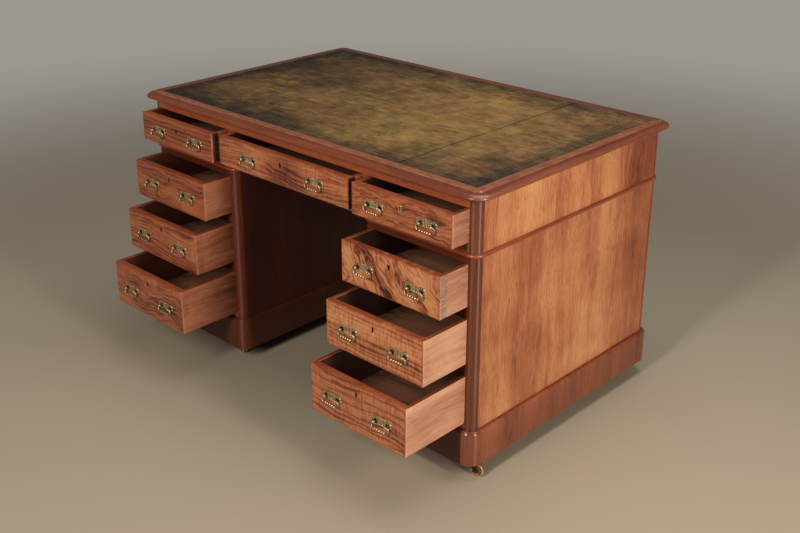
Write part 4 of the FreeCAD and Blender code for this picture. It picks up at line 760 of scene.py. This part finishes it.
# %% Pedestals
def pedestal(mark, s):
    """All boards of one pedestal, on the left (s = -1) or on the right (s = 1)."""
    middle = (s * (INNER + OUTER) / 2, 0)
    x = both(s, OPEN_IN, OPEN_OUT)
    plinth = belt(f"{mark}_plinth", *plinth_section(), PLINTH_OUT, PLINTH_ROUND, middle, upright=True)
    columns = [column(f"{mark}_column_{cx}_{cy}", s * cx, cy * (REAR - COLUMN), (PLINTH_TOP, PED_TOP - BEAD_HIGH))
               for cx in (OPEN_IN, OPEN_OUT) for cy in (-1, 1)]
    between = [board(f"{mark}_{level}_rail", x, (FRONT, RAIL_BACK), z, "x") for level, z in RAILS.items()]
    # Lengths and corners of the plinth, by number: painted shade under the drawers, painted shade beside the kneehole
    # (with the inner columns and the rails between the drawers), those in the light, and the ends.
    shaded, knee, lit, ends = ((0, 2), (1, 3), (5, 7), (4, 6)) if s < 0 else ((0, 6), (5, 7), (1, 3), (2, 4))
    for group, numbers, more, finish in (("shaded", shaded, [], shade_walnut),
                                         ("knee_corners", knee, columns[:2] + between, knee_painted_shade),
                                         ("columns", (), columns[2:3], column_walnut),
                                         ("blocks", lit, [], block_walnut),
                                         ("plinth_ends", ends, [], plinth_walnut)):
        fixed(f"{mark}_pedestal_{group}", [plinth[number] for number in numbers] + more, finish)
    rails = belt(f"{mark}_bead", *bead_section(), BEAD_OUT, BEAD_ROUND, middle) + columns[3:]
    rails.append(board(f"{mark}_rear_cap", x, (REAR - RAIL_DEEP, REAR), RAILS["cap"], "x"))
    rails.append(board(f"{mark}_base", x, (FRONT, REAR), (PLINTH_TOP, BASE_TOP), "x"))
    fixed(f"{mark}_pedestal_rails", rails, rail_walnut, f"{mark}_pedestal_case")
    # The inner panel is painted dark as the shade of the kneehole.
    for edge, near, far, finish in (("inner", INNER + SETBACK, INNER + PANEL, kneehole_painted_shade),
                                    ("outer", OUTER - PANEL, OUTER - SETBACK, end_walnut)):
        side = board(f"{mark}_{edge}_side", both(s, near, far), PANEL_Y, (PLINTH_TOP, PED_TOP), "z", 0.5, apart=False)
        fixed(f"{mark}_{edge}_panel", [side], finish)
    inside = both(s, INNER + PANEL, OUTER - PANEL)
    dark = [board(f"{mark}_dust", inside, (RAIL_BACK, REAR - RAIL_DEEP), (DUST_LOW, PED_TOP), "x"),
            board(f"{mark}_partition", x, (PARTITION, PARTITION_BACK), (BASE_TOP, DUST_LOW), "x")]
    for level, (z, _) in LEVELS.items():
        for edge, wall, way in (("low", inside[0], 1), ("high", inside[1], -1)):
            dark.append(board(f"{mark}_{level}_{edge}_guide", sorted((wall, wall + way * GUIDE)),
                              (FRONT + COLUMN, PARTITION), (z, z + GUIDE_HIGH), "y"))
            if level != "lower":
                dark.append(board(f"{mark}_{level}_{edge}_runner", sorted((wall, wall + way * RUNNER)),
                                  (RAIL_BACK, PARTITION), (z - RUNNER_HIGH, z), "y"))
    for cx in (s * (INNER + BLOCK_IN), s * (OUTER - BLOCK_IN)):
        for cy in (FRONT + BLOCK_IN, REAR - BLOCK_IN):
            dark.append(board(f"{mark}_block_{cx}_{cy}", (cx - BLOCK, cx + BLOCK), (cy - BLOCK, cy + BLOCK),
                              (PLINTH_LOW + 0.2, PLINTH_TOP - 1), "z"))
    fixed(f"{mark}_pedestal_inside", dark, inside_wood)
    return len(plinth) + 3 + len(between) + len(rails) + len(dark) + 2


for mark, s in SIDES.items():
    print(mark, "pedestal in", pedestal(mark, s), "pieces of wood")

# %% [markdown]
# ## Drawer fronts
# Each front is faced with its own leaf of figured walnut, so each gets its own version of the recipe: some
# are striped along the front, one has a burr with a slanting dark band, others a fine cross ripple. A front
# has a real keyhole, so its skin is a ring: from the keyhole out to the edges, round them, and back through
# the hole.

# %% Figured fronts
WARM = ("#351307", "#87452a", "#b16942", "#d19262")
MID = ("#32120a", "#7d3d26", "#a55c39", "#c58355")
RED = ("#2e1008", "#733620", "#99502f", "#ba7448")
FIGURES = {
    "frieze_left": dict(tones=RED, seed=21, swirl=0.9, streak=0.4, length=300, width=36),
    "frieze_centre": dict(tones=WARM, seed=24, spacing=12, swirl=1.2, streak=0.5, sharp=2, length=260, width=40,
                          wander=14, ripple=0.4, bands=((90, 20, 120, 0.25),)),
    "frieze_right": dict(tones=MID, seed=27, spacing=14, swirl=1.6, streak=0.6, sharp=2.2, length=210, width=32,
                         wander=12, bend=100, ripple=0.2),
    "left_upper": dict(tones=RED, seed=31, spacing=15, swirl=1.3, streak=0.42, sharp=2, length=220, width=34,
                       wander=14, blotch=0.8),
    "left_middle": dict(tones=MID, seed=34, swirl=1.1, streak=0.5, sharp=2.2, length=240, width=36, wander=12,
                        ripple=0.4, blotch=0.7),
    "left_lower": dict(tones=MID, seed=37, spacing=16, swirl=1.3, streak=0.5, sharp=2, length=200, width=34,
                       wander=14, burr=0.8, ripple=0.3, blotch=0.9),
    "right_upper": dict(tones=WARM, seed=41, angle=44, spacing=24, swirl=1.5, streak=0.8, sharp=2, length=190,
                        width=34, wander=14, bend=80, burr=3.0, bands=((44, -30, 24, 0.35), (44, 50, 18, 0.3))),
    "right_middle": dict(tones=WARM, seed=44, spacing=14, swirl=0.7, streak=0.6, sharp=2.4, width=34, ripple=0.9),
    "right_lower": dict(tones=MID, seed=47, spacing=21, swirl=0.9, streak=0.75, sharp=4.0, width=34, wander=10,
                        ripple=0.8),
}
SHARED = dict(cloud=0.9, fibre=0.65, blotch=0.4, edge="#8f4527", rub=0.75, gloss=0.4, coat=0.22)
figured = {name: walnut(f"figured_walnut_{name}", **{**SHARED, **how}) for name, how in FIGURES.items()}
print(len(figured), "figured fronts")

# %% Front shape
def reach(angles, circles, boxes):
    """How far a ray from the origin goes to leave a union of circles (x, z, r) and boxes (x0, x1, z0, z1).

    A circle is left at u.c + sqrt((u.c)^2 - c.c + r^2), a box at the nearer of its two walls ahead.
    """
    ray = np.column_stack([np.cos(angles), np.sin(angles)]) + 1e-9
    c = np.array(circles, float)
    along = ray @ c[:, :2].T
    inside = along ** 2 - (c[:, :2] ** 2).sum(1) + c[:, 2] ** 2
    far = np.where(inside > 0, along + np.sqrt(np.maximum(inside, 0)), 0).max(1)
    for x0, x1, z0, z1 in boxes:
        wall_x = np.where(ray[:, 0] > 0, x1, x0) / ray[:, 0]
        wall_z = np.where(ray[:, 1] > 0, z1, z0) / ray[:, 1]
        far = np.maximum(far, np.minimum(wall_x, wall_z))
    return far


EYE, SLOT_HALF, SLOT_LOW = 2.6, 1.5, -5.9      # mm, radius of the eye, half width and foot of the slot


def keyhole(angles, spread):
    """Outline of a keyhole about its own middle: a round eye above a slot, both grown by the spread."""
    wide = SLOT_HALF + spread
    far = reach(angles, [(0, EYE, EYE + spread)], [(-wide, wide, SLOT_LOW - spread, EYE)])
    return far[:, None] * np.column_stack([np.cos(angles), np.sin(angles)])


KEY_DROP, THICK = 26.6, 21.0


def upright(outlines, levels):
    """Rings from outlines of (x, z), each standing at its own y."""
    return np.stack([np.column_stack([p[:, 0], np.full(len(p), y), p[:, 1]]) for p, y in zip(outlines, levels)])


def front(name, x, face, z):
    """A drawer front as one closed ring of outlines: keyhole, face, eased edges, back and keyhole again."""
    half = np.array([x[1] - x[0], z[1] - z[0]]) / 2
    t = np.linspace(-0.9, 0.9, 9)
    q, n = rim(t, t)
    angles = np.arctan2(*(q + 0.2 * n)[:, ::-1].T)
    key = np.array([0, half[1] - KEY_DROP])
    r = 1.6
    ease = EASE * r

    def hole(spread):
        return key + keyhole(angles, spread)

    def edge(inset):
        corner = max(r - inset, 0.4)
        return q * (half - inset - corner) + corner * n

    rows = [(hole(1.3), 0, 0), (hole(4.3), 0, 0), (edge(5), 0, 0), (edge(r), 0, 1), (edge(ease), ease, 1),
            (edge(0), r, 1.4), (edge(0), 6, 1.4), (edge(0), THICK - r, 1.4), (edge(ease), THICK - ease, 1),
            (edge(r), THICK, 0.5), (edge(9), THICK, 0), (hole(1.3), THICK, 0)]
    outlines, levels, wear = zip(*rows)
    rings = upright(outlines, np.add(levels, face))
    middle = np.array([sum(x) / 2, 0, sum(z) / 2])
    return timber(name, rings + middle, 0, np.array(wear)[:, None], rings[:, :, [0, 2, 1]], closed=True, apart=False)


print("keyhole outline reaches", np.abs(keyhole(np.radians([90, 270]), 0.0)[:, 1]).round(1), "mm up and down")

# %% [markdown]
# ## Drawer boxes
# Behind each front is a plain box: two thin sides joined to the front with dovetails, a thin bottom and a
# low back. The tails of the sides show on the ends of the front as pale wedges, so they are real prisms let
# into it by a hair. The sides are stained almost black inside and polished red along the top:
# both are thin skins of their own. In the left drawers the inside skins are a lighter copy of the stain: painted
# light.

# %% Drawer boxes
DRAWERS = list(FIGURES)
LININGS = {"frieze_right": brown_lining, "right_upper": brown_lining, "frieze_centre": lining_wood,
           "right_middle": lining_wood, "right_lower": lining_wood}
# The ends of the left and centre frieze drawers are painted dark, as shade from the drawer beside each.
ENDS = {"frieze_left": painted_shade_ends, "frieze_centre": inside_wood, "right_upper": bare_wood}
SIDE, BACK, SKIN = 10, 9, 0.2       # mm, thickness of the sides and of the back, and half that of the stain
BOTTOM_LOW, BOTTOM_HIGH, BACK_DROP = 8, 14, 6


def span(node):
    """Low and high corners of a CAD node, in millimetres."""
    return np.array([list(corner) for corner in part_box(node)]) * 1000


def tails(name, x, back, z, out):
    """Dovetail tails on one end of a front: wedges 24.4 mm long that shrink from 0.98 to 0.94 of the pitch.

    They lie a hair over the end of the side. At the corner of the drawer they are pale, partly rubbed bare and partly
    a painted highlight on that corner.
    """
    count = max(3, round((z[1] - z[0]) / 26))
    pitch = (z[1] - z[0]) / count
    across = x + out * np.array([-6, -6, 0.12, 0.12])
    made = []
    for number in range(count):
        centre = z[0] + (number + 0.5) * pitch
        wide = np.array([[0.98], [0.97], [0.94]]) * pitch / 2 * np.array([-1, 1, 1, -1]) + centre
        rings = upright([np.column_stack([across, row]) for row in wide], (back - 19.4, back - 13, back + 5))
        made.append(timber(f"{name}_{number}", rings, 1, np.array([[2.2], [0], [0]]), apart=False))
    return made


def pair(name, x, near, far, y, z, bevel, wear, apart=True):
    """A board at the left end of a drawer and its twin at the right, between two distances from the ends."""
    return [board(f"{name}_{end}", sorted((edge + way * near, edge + way * far)), y, z, "y", bevel, wear, apart)
            for end, edge, way in (("left", x[0], 1), ("right", x[1], -1))]


for name in DRAWERS:
    body = f"{name}_drawer"
    (x0, y0, z0), (x1, y1, z1) = span(body)
    x, z, back = (x0, x1), (z0, z1), y0 + THICK
    within = (x0 + SIDE, x1 - SIDE)
    lining = LININGS.get(name, shaded_red_lining)
    wedges = tails(f"{name}_tail_left", x0, back, z, -1) + tails(f"{name}_tail_right", x1, back, z, 1)
    # The red tops and the stain are skins that stand proud of the sides by a fraction of a millimetre.
    caps = pair(f"{name}_cap", x, 0, SIDE + 0.1, (back, y1 - 0.5), (z1 - 0.6, z1 + 0.05), 0.1, 3.0)
    # A wide wear strip on the bottom carries its painted shade towards the edges.
    bottom = board(f"{name}_bottom", within, (back, y1), (z0 + BOTTOM_LOW, z0 + BOTTOM_HIGH), "x", wear=90.0)
    stained = pair(f"{name}_stain", x, SIDE - SKIN, SIDE + SKIN, (back, y1 - BACK),
                   (z0 + BOTTOM_HIGH, z1 - 1.5), 0.1, 3.0)
    stained.append(board(f"{name}_back", within, (y1 - BACK, y1), (z0 + BOTTOM_HIGH, z1 - BACK_DROP), "x"))
    parts = [("front", [front(f"{name}_front", x, y0, z)], figured[name], body),
             ("sides", pair(f"{name}_side", x, 0, SIDE, (back, y1), z, 0.9, 5.0, apart=False), lining),
             ("tails", wedges, ENDS.get(name, lining)),
             ("side_tops", caps, rail_walnut),
             ("bottom", [bottom], bottom_wood),
             # Painted light: inside the left drawers the skins take the plinths' walnut, a lighter copy of the stain.
             ("stained_inside", stained, shade_walnut if "left" in name else inside_wood)]
    for part, shells, finish, *nodes in parts:
        piece(f"{name}_{part}", shells, finish, body, "walnut_drawer", *nodes)
print(len(DRAWERS), "drawers dressed")

# %% [markdown]
# ## Brass
# The handles are cast brass that was never polished back: grey olive in the hollows, brighter where fingers
# rub it. A mark for the height of the relief mixes the two, so the pattern of the casting shows by itself.

# %% Brass finishes
def brass(name, low, high, rough):
    """Cast brass: a noise and the relief mark choose between the dark patina and the rubbed metal."""
    material, tree = start(name)
    mark = add(tree, "Attribute", attribute_name="relief").outputs["Fac"]
    place = add(tree, "TexCoord").outputs["Object"]
    mm = add(tree, "VectorMath", {0: place, "Scale": 1000.0}, operation="SCALE")
    spots = add(tree, "TexNoise", {"Vector": mm, "Scale": 1 / 7, "Detail": 3.0})
    worn = add(tree, "Math", {0: spots, 1: 0.9, 2: mark}, operation="MULTIPLY_ADD")
    rubbed = add(tree, "MapRange", {"Value": worn, "From Min": 0.15, "From Max": 1.0})
    colour = add(tree, "ValToRGB", {"Fac": rubbed}, stops=[(0.0, low), (1.0, high)])
    matt = add(tree, "MapRange", {"Value": rubbed, "To Min": rough + 0.18, "To Max": rough})
    surface = add(tree, "BsdfPrincipled", {"Base Color": colour, "Metallic": 1.0, "Roughness": matt})
    add(tree, "OutputMaterial", {"Surface": surface})
    return material


aged_brass = brass("aged_cast_brass", "#1a140a", "#e2cda2", 0.45)
bright_brass = brass("rubbed_brass", "#3c2f18", "#efdcb4", 0.34)
dull_brass = brass("tarnished_brass", "#171008", "#54452a", 0.4)
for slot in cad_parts["door_pivot_pins"].material_slots:
    slot.material = dull_brass
print("brass finishes:", aged_brass.name, bright_brass.name, dull_brass.name)

# %% [markdown]
# ## Handles
# A handle is a cast plate with a scalloped crest between two fluted shells, two turned posts, and a beaded
# bail that hangs from them. The plate is drawn in rings from its middle to its outline, and its relief is a
# height worked out at every point. The bail is a rod of changing thickness carried along its bent path.

# %% Handle shapes
def metal(rings, relief=0.5, closed=False):
    """A skin of brass with its relief mark, the same all over or given point by point."""
    return shell(rings, closed, relief=np.broadcast_to(relief, rings.shape[:2]).ravel())


def turned(profile, sides, place, axis, side):
    """A turned piece: circles place + height * w + radius * (cos t * u + sin t * v) about its axis w."""
    radius, height = np.array(profile, float).T
    w, u = np.array(axis, float), np.array(side, float)
    v = np.cross(w, u)
    t = np.linspace(0, 2 * math.pi, sides, endpoint=False)
    circle = np.cos(t)[:, None] * u + np.sin(t)[:, None] * v
    return np.asarray(place) + height[:, None, None] * w + radius[:, None, None] * circle


POST_X = 20.0


def plate_relief(x, z):
    """Height of the plate's casting: 0.45 * flutes + 0.3 * bands - 0.8 * a bell-shaped ring sunk at each post.

    The flutes are cosines: nine round each post, as on a shell, and an arch every 5 mm between the posts.
    """
    side = np.abs(x) - POST_X
    d = np.hypot(side, z)
    shell_flutes = np.cos(9 * np.arctan2(z, side)) * (d > 5.5)
    arches = np.cos(2 * math.pi * x / 5.0)
    flutes = np.where(np.abs(x) < 11, arches, shell_flutes)
    bands = np.cos(2 * math.pi * (z - 0.012 * x * x) / 5.5)
    sunk = np.exp(-((d - 4.4) / 1.6) ** 2)
    return 0.45 * flutes + 0.3 * bands - 0.8 * sunk


def handle_plate(x, face, z):
    """A scalloped plate: rings from its middle (0, 8) to the edge of a union of circles, then to the back."""
    t = np.linspace(0, 2 * math.pi, 132, endpoint=False)
    crest = [(c, 2.5 - 0.004 * c * c, 3.0) for c in (-14.5, -8.7, -2.9, 2.9, 8.7, 14.5)]
    lobes = [(s * a, b, r) for s in (-1, 1)
             for a, b, r in ((20, -8, 8.4), (22, 0.5, 6.6), (27.5, -1.5, 4.6), (28.5, -8, 4.4))]
    far = reach(t, crest + lobes, [(-22, 22, -13.0, 2.5)])
    v = np.r_[0.02, np.linspace(0.07, 0.93, 24), 0.97, 0.99, 1.0, 1.0]
    px = v[:, None] * far * np.cos(t)
    pz = v[:, None] * far * np.sin(t) + 8
    cord = np.exp(-(((1 - v[:, None]) * far - 0.9) / 0.7) ** 2)
    rope = cord * (0.5 + 0.6 * np.cos(2 * math.pi * px / 5.8))
    bump = plate_relief(px, pz) + rope
    out = 1.7 + 0.8 * bump * (v[:, None] < 0.98)
    out[-2], out[-1] = 1.2, 0
    return metal(np.stack([x + px, face - out, z + pz], -1), np.clip(0.22 + 0.7 * bump, -0.6, 0.95))


# Turned profiles of (radius, height) in mm: a post from the plate outwards, and the nut behind the front.
POST = [(5.0, 1.2), (5.0, 2.0), (4.3, 2.6), (2.9, 3.0), (2.7, 4.2), (3.2, 5.4), (3.7, 6.6), (3.9, 8.1),
        (3.7, 9.4), (3.0, 10.5), (2.1, 11.3), (1.1, 11.8), (0.2, 12.0)]
POST_RELIEF = np.array([-0.3] * 4 + [-0.1, 0, 0.1, 0.1, 0.2] + [0.4] * 4)[:, None]
NUT = [(5.0, 0.0), (5.0, 3.0), (4.3, 3.5), (2.3, 3.5), (2.2, 4.2), (0.2, 4.2)]


def bail_path():
    """Line of a bail in its own plane: pin, bend of 5 mm, leg, bend of 9 mm, and half the grip, then mirrored."""
    small, large = np.radians(np.linspace(90, 180, 7)), np.radians(np.linspace(180, 270, 10))
    half = np.vstack([np.column_stack([np.linspace(-15.4, -24.0, 5, endpoint=False), np.zeros(5)]),
                      np.column_stack([-24 + 5 * np.cos(small), -5 + 5 * np.sin(small)]),
                      np.column_stack([-20 + 9 * np.cos(large), -7.5 + 9 * np.sin(large)]),
                      np.column_stack([np.linspace(-20, 0, 26)[1:], np.full(25, -16.5)])])
    return np.vstack([half, half[-2::-1] * (-1, 1)])


def bail(x, y, z):
    """A rod along the bail's line: circles of 2.1 mm, plus a bell of 0.5 at the ears and 0.9 at each bead.

    The beads follow the upper half of a cosine, 8 mm apart along the grip.
    """
    line = bail_path()
    step = np.gradient(line, axis=0)
    step /= np.linalg.norm(step, axis=1)[:, None]
    px, pz = line.T
    beads = np.clip(np.cos(2 * math.pi * px / 8.0), 0, 1) ** 0.7 * (np.abs(px) < 19)
    thick = 2.1 + 0.5 * np.exp(-((np.abs(px) - 25.5) / 3) ** 2) * (pz > -5) + (pz < -13) * 0.9 * beads
    t = np.linspace(0, 2 * math.pi, 12, endpoint=False)
    side = np.column_stack([-step[:, 1], np.zeros(len(px)), step[:, 0]])
    middle = np.column_stack([px + x, np.full(len(px), y), pz + z])
    circle = np.cos(t)[:, None] * side[:, None] + np.sin(t)[:, None] * np.array([0, 1, 0])
    return metal(middle[:, None] + thick[:, None, None] * circle, (0.12 + (pz < -13) * 0.45 * beads)[:, None])


print("bail line of", len(bail_path()), "points, plate relief at a post", plate_relief(POST_X, 4.0).round(2))

# %% Handles, locks and keyholes
DROPS = {"frieze": 43.0, "upper": 57.0, "middle": 61.5, "lower": 69.5}     # mm from the top edge to the posts
INSET, WIDE_INSET, BAIL_OUT = 77, 125, 8.1
NEW_THREAD, LIP = "frieze_right", 1.5       # one keyhole has a newer, brighter thread with a lip
# Case and bolt of a lock, in mm: half width, places behind the face, drops below the top edge, and ease.
LOCK = [(23, (10, 21.5), (38, 0.4), 0.6), (9, (13.5, 17.5), (14, 0.2), 0.4)]
RIGHTWARD, REARWARD, OUTWARD, UPWARD = (1, 0, 0), (0, 1, 0), (0, -1, 0), (0, 0, 1)


def block(x, y, z, grain, bevel):
    """Rings of a block of metal with eased edges, shaped as a board is."""
    return board("block", x, y, z, grain, bevel)["points"].reshape(10, -1, 3)


def escutcheon(x, face, z, lip):
    """A brass thread round the keyhole: a closed ring of six outlines, with a lip that lies on the front."""
    t = np.linspace(0, 2 * math.pi, 48, endpoint=False)
    rows = [(0.0, 2.6), (0.0, -0.1), (0.3, -0.4), (1.0 + lip, -0.4), (1.3 + lip, -0.1), (1.3, 2.6)]
    rings = upright([keyhole(t, spread) + (x, z) for spread, _ in rows], [face + y for _, y in rows])
    return metal(rings, closed=True)


for name in DRAWERS:
    body = f"{name}_drawer"
    (x0, y0, _), (x1, _, z1) = span(body)
    inset = WIDE_INSET if name == "frieze_centre" else INSET
    pivot = z1 - DROPS["frieze" if name.startswith("frieze") else name.split("_")[1]]
    plates, posts = [], []
    for mark, x in (("left", x0 + inset), ("right", x1 - inset)):
        plates.append(handle_plate(x, y0, pivot))
        for px in (x - POST_X, x + POST_X):
            posts.append(metal(turned(POST, 20, (px, y0, pivot), OUTWARD, RIGHTWARD), POST_RELIEF))
            posts.append(metal(turned(NUT, 6, (px, y0 + THICK, pivot), REARWARD, RIGHTWARD), 0.1))
        hung = f"{name}_{mark}_bail"
        piece(f"{hung}_rod", [bail(x, y0 - BAIL_OUT, pivot)], bright_brass, hung, "antique_brass", hung)
    piece(f"{name}_handle_plates", plates + posts, aged_brass, body, "antique_brass", f"{name}_fittings")
    middle = (x0 + x1) / 2
    new = name == NEW_THREAD
    thread = escutcheon(middle, y0, z1 - KEY_DROP, LIP if new else 0.0)
    piece(f"{name}_escutcheon", [thread], bright_brass if new else dull_brass, body, "antique_brass")
    lock = [metal(block((middle - half, middle + half), np.add(y0, deep), np.subtract(z1, drop), "x", ease), 0.2)
            for half, deep, drop, ease in LOCK]
    piece(f"{name}_lock", lock, dull_brass, body, "antique_brass")
print(2 * len(DRAWERS), "handles and", len(DRAWERS), "locks")

# %% [markdown]
# ## Cupboard doors
# The far side has a framed door in each pedestal, hung on pivot pins in a rounded stile. Its panel is
# fielded: a flat middle with a wide bevel down to the frame, which is a row of rectangles that shrink as they
# rise. A turned walnut knob opens it.

# %% Doors
# Turned profile of the knob, as (radius, height) in mm.
KNOB = [(7.0, 0.0), (7.4, 0.6), (6.2, 2.0), (5.6, 4.5), (6.6, 7.0), (9.6, 9.2), (12.0, 11.6), (13.0, 14.6),
        (12.4, 18.0), (10.6, 20.6), (7.6, 22.2), (4.0, 22.8), (0.2, 23.0)]
DOOR_THICK, DOOR_GAP, FRAME = 20, 1, 52
DOOR_LOW, DOOR_HIGH = BASE_TOP + DOOR_GAP, DRAWERS_TOP - DOOR_GAP


def stile(name, pivot, inner, z):
    """The hinge stile: a flat board whose outer edge is a half circle about the pivot, as wide as it is thick."""
    out, r = math.copysign(1, pivot - inner), DOOR_THICK / 2
    t = np.radians(np.linspace(-90, 90, 15))
    arc = np.column_stack([pivot + r * out * np.cos(t), REAR - r + r * np.sin(t)])
    return post(name, np.vstack([(inner, REAR - DOOR_THICK), arc, (inner, REAR)]), z)


def fielded_panel(name, x, z):
    """A fielded panel: rectangles q * (h - inset) that step back at the field and rise over its bevel."""
    half = np.array([x[1] - x[0], z[1] - z[0]]) / 2
    middle = np.array([sum(x), sum(z)]) / 2
    q, n = rim([-0.5, 0.5], [-0.5, 0.5])
    rows = [(60, -14.5), (0, -14.5), (0, -9.5), (3, -9.5), (30, -5.4), (31, -4.4), (60, -4.2)]
    rings = upright([q * (half - inset - 1) + n + middle for inset, _ in rows], [REAR + y for _, y in rows])
    return timber(name, rings, 2, np.array([0, 0, 0, 0, 0.6, 0.8, 0])[:, None])


for mark, s in SIDES.items():
    door = f"{mark}_door"
    y, z = (REAR - DOOR_THICK, REAR), (DOOR_LOW, DOOR_HIGH)
    door_out, door_in = OPEN_OUT - DOOR_GAP, OPEN_IN + DOOR_GAP
    hinge_edge, free_edge = door_out - FRAME, door_in + FRAME
    between = both(s, hinge_edge, free_edge)
    knob = turned(KNOB, 32, (s * (door_in + FRAME / 2), REAR, sum(z) / 2), REARWARD, RIGHTWARD)
    parts = [stile(f"{door}_stile", s * (door_out - DOOR_THICK / 2), s * hinge_edge, z),
             board(f"{door}_free_stile", both(s, door_in, free_edge), y, z, "z"),
             board(f"{door}_low_rail", between, y, (DOOR_LOW, DOOR_LOW + FRAME), "x"),
             board(f"{door}_high_rail", between, y, (DOOR_HIGH - FRAME, DOOR_HIGH), "x"),
             timber(f"{door}_knob", knob, 1)]
    piece(f"{door}_frame", parts, rail_walnut, door, "walnut_carcass", door)
    panel = fielded_panel(f"{door}_panel", between, (DOOR_LOW + FRAME, DOOR_HIGH - FRAME))
    piece(f"{door}_field", [panel], end_walnut, door, "walnut_carcass")
print("two framed doors with fielded panels")

# %% [markdown]
# ## Castors
# Each plinth corner rests on a small castor: a brass fork that swivels on its stem and a wheel of brown
# glazed earthenware, grooved on its tread and dished at its hub. They are drawn once, pointing along X, and
# turned to the way each one trails.

# %% Castor glaze
glaze, tree = start("brown_glazed_earthenware")
place = add(tree, "TexCoord").outputs["Object"]
mm = add(tree, "VectorMath", {0: place, "Scale": 1000.0}, operation="SCALE")
cloudy = add(tree, "TexNoise", {"Vector": mm, "Scale": 1 / 9, "Detail": 3.0})
colour = add(tree, "ValToRGB", {"Fac": cloudy}, stops=[(0.3, "#54301f"), (0.55, "#86573f"), (0.75, "#a87c64")])
# Painted highlight: the edges of the tread are painted pale where the lamps' highlights fall.
painted_rim_highlight = add(tree, "Attribute", attribute_name="wear").outputs["Fac"]
colour = add(tree, "Mix", {0: painted_rim_highlight, 6: colour, 7: linear("#b39a83")}, data_type="RGBA").outputs[2]
surface = add(tree, "BsdfPrincipled", {"Base Color": colour, "Roughness": 0.2, "IOR": 1.55, "Coat Weight": 0.6,
                                       "Coat Roughness": 0.06})
add(tree, "OutputMaterial", {"Surface": surface})
print("castor glaze:", glaze.name)

# %% Castors
# Outlines in mm: a cheek of the fork as (along, up), then turned profiles of (radius, height).
CHEEK = np.array([(-11, 42), (-11, 38.4), (-6, 36), (3, 30.5), (12, 23.5), (18.4, 18.6), (20, 15), (22.4, 12.6),
                  (26, 11.8), (29.6, 12.6), (32, 15), (32.4, 18.4), (30.4, 22.6), (24, 31), (16, 38.5), (11, 42)])
HALF_WHEEL = [(3.1, 8.5), (7.2, 8.5), (8, 7.9), (8.3, 6), (9.6, 5.5), (12, 5.6), (13, 6.4), (13.4, 8.2), (14.2, 8.5),
              (16, 8.5), (17.4, 7.7), (18, 6.4), (18, 4.6), (17.2, 4.1), (17.2, 3.5), (18, 3.0)]
HALF_AXLE = [(0.3, 13.6), (2.4, 13.5), (4.2, 12.9), (4.6, 12.3), (3, 12.2)]
STEM = [(10, 42), (10, 44.2), (9.4, 44.7), (5, 44.7), (5, 78), (4, 78.7), (0.3, 78.7)]
# Degrees from +X at which each wheel trails behind its stem.
TRAILS = {"left": {"outer_front": 205, "inner_front": 160, "inner_rear": 110, "outer_rear": 160},
          "right": {"outer_front": 15, "inner_front": 235, "inner_rear": 80, "outer_rear": 190}}
HUB, CASTOR_IN, WHEEL_SIDES = (26, 0, 18), 30, 40


def mirrored(half):
    """A turned profile that is the same below and above its middle."""
    return [(radius, -height) for radius, height in half] + half[::-1]


def swung(rings, degrees, x, y):
    """Rings of a castor turned about its stem and moved to its corner."""
    c, s = math.cos(math.radians(degrees)), math.sin(math.radians(degrees))
    return rings @ np.array([[c, s, 0], [-s, c, 0], [0, 0, 1]]) + (x, y, 0)


def cheek(y0, y1):
    """One leg of the fork: its outline four times across, pulled in by 4 % on both faces for an eased edge."""
    middle = CHEEK.mean(0)
    outlines = [middle + (CHEEK - middle) * size for size in (0.96, 1.0, 1.0, 0.96)]
    return upright(outlines, (y0, y0 + 0.5, y1 - 0.5, y1))


fork_rings = [cheek(-12.3, -9.3), cheek(9.3, 12.3), block((-11, 11), (-12.3, 12.3), (38, 42), "y", 1.2),
              turned(STEM, 24, (0, 0, 0), UPWARD, RIGHTWARD),
              turned(mirrored(HALF_AXLE), 20, HUB, REARWARD, RIGHTWARD)]
WHEEL = mirrored(HALF_WHEEL)
wheel_rings = turned(WHEEL, WHEEL_SIDES, HUB, REARWARD, RIGHTWARD)
# Points at the edges of the tread get the painted highlight.
pale = [1.0 if 15 < radius < 17.9 and abs(height) > 7 else 0.0 for radius, height in WHEEL]
for mark, s in SIDES.items():
    for corner, turn in TRAILS[mark].items():
        x = s * (OUTER - CASTOR_IN if corner.startswith("outer") else INNER + CASTOR_IN)
        y = FRONT + CASTOR_IN if corner.endswith("front") else REAR - CASTOR_IN
        name = f"{mark}_{corner}_castor"
        fork = [metal(swung(rings, turn, x, y), 0.3) for rings in fork_rings]
        piece(f"{name}_brass", fork, dull_brass, f"{name}_fork", "antique_brass", f"{name}_fork")
        wheel = shell(swung(wheel_rings, turn, x, y), closed=True, wear=np.repeat(pale, WHEEL_SIDES))
        piece(f"{name}_roller", [wheel], glaze, f"{name}_wheel", "castor_wheel_wood", f"{name}_wheel")
print("eight castors")
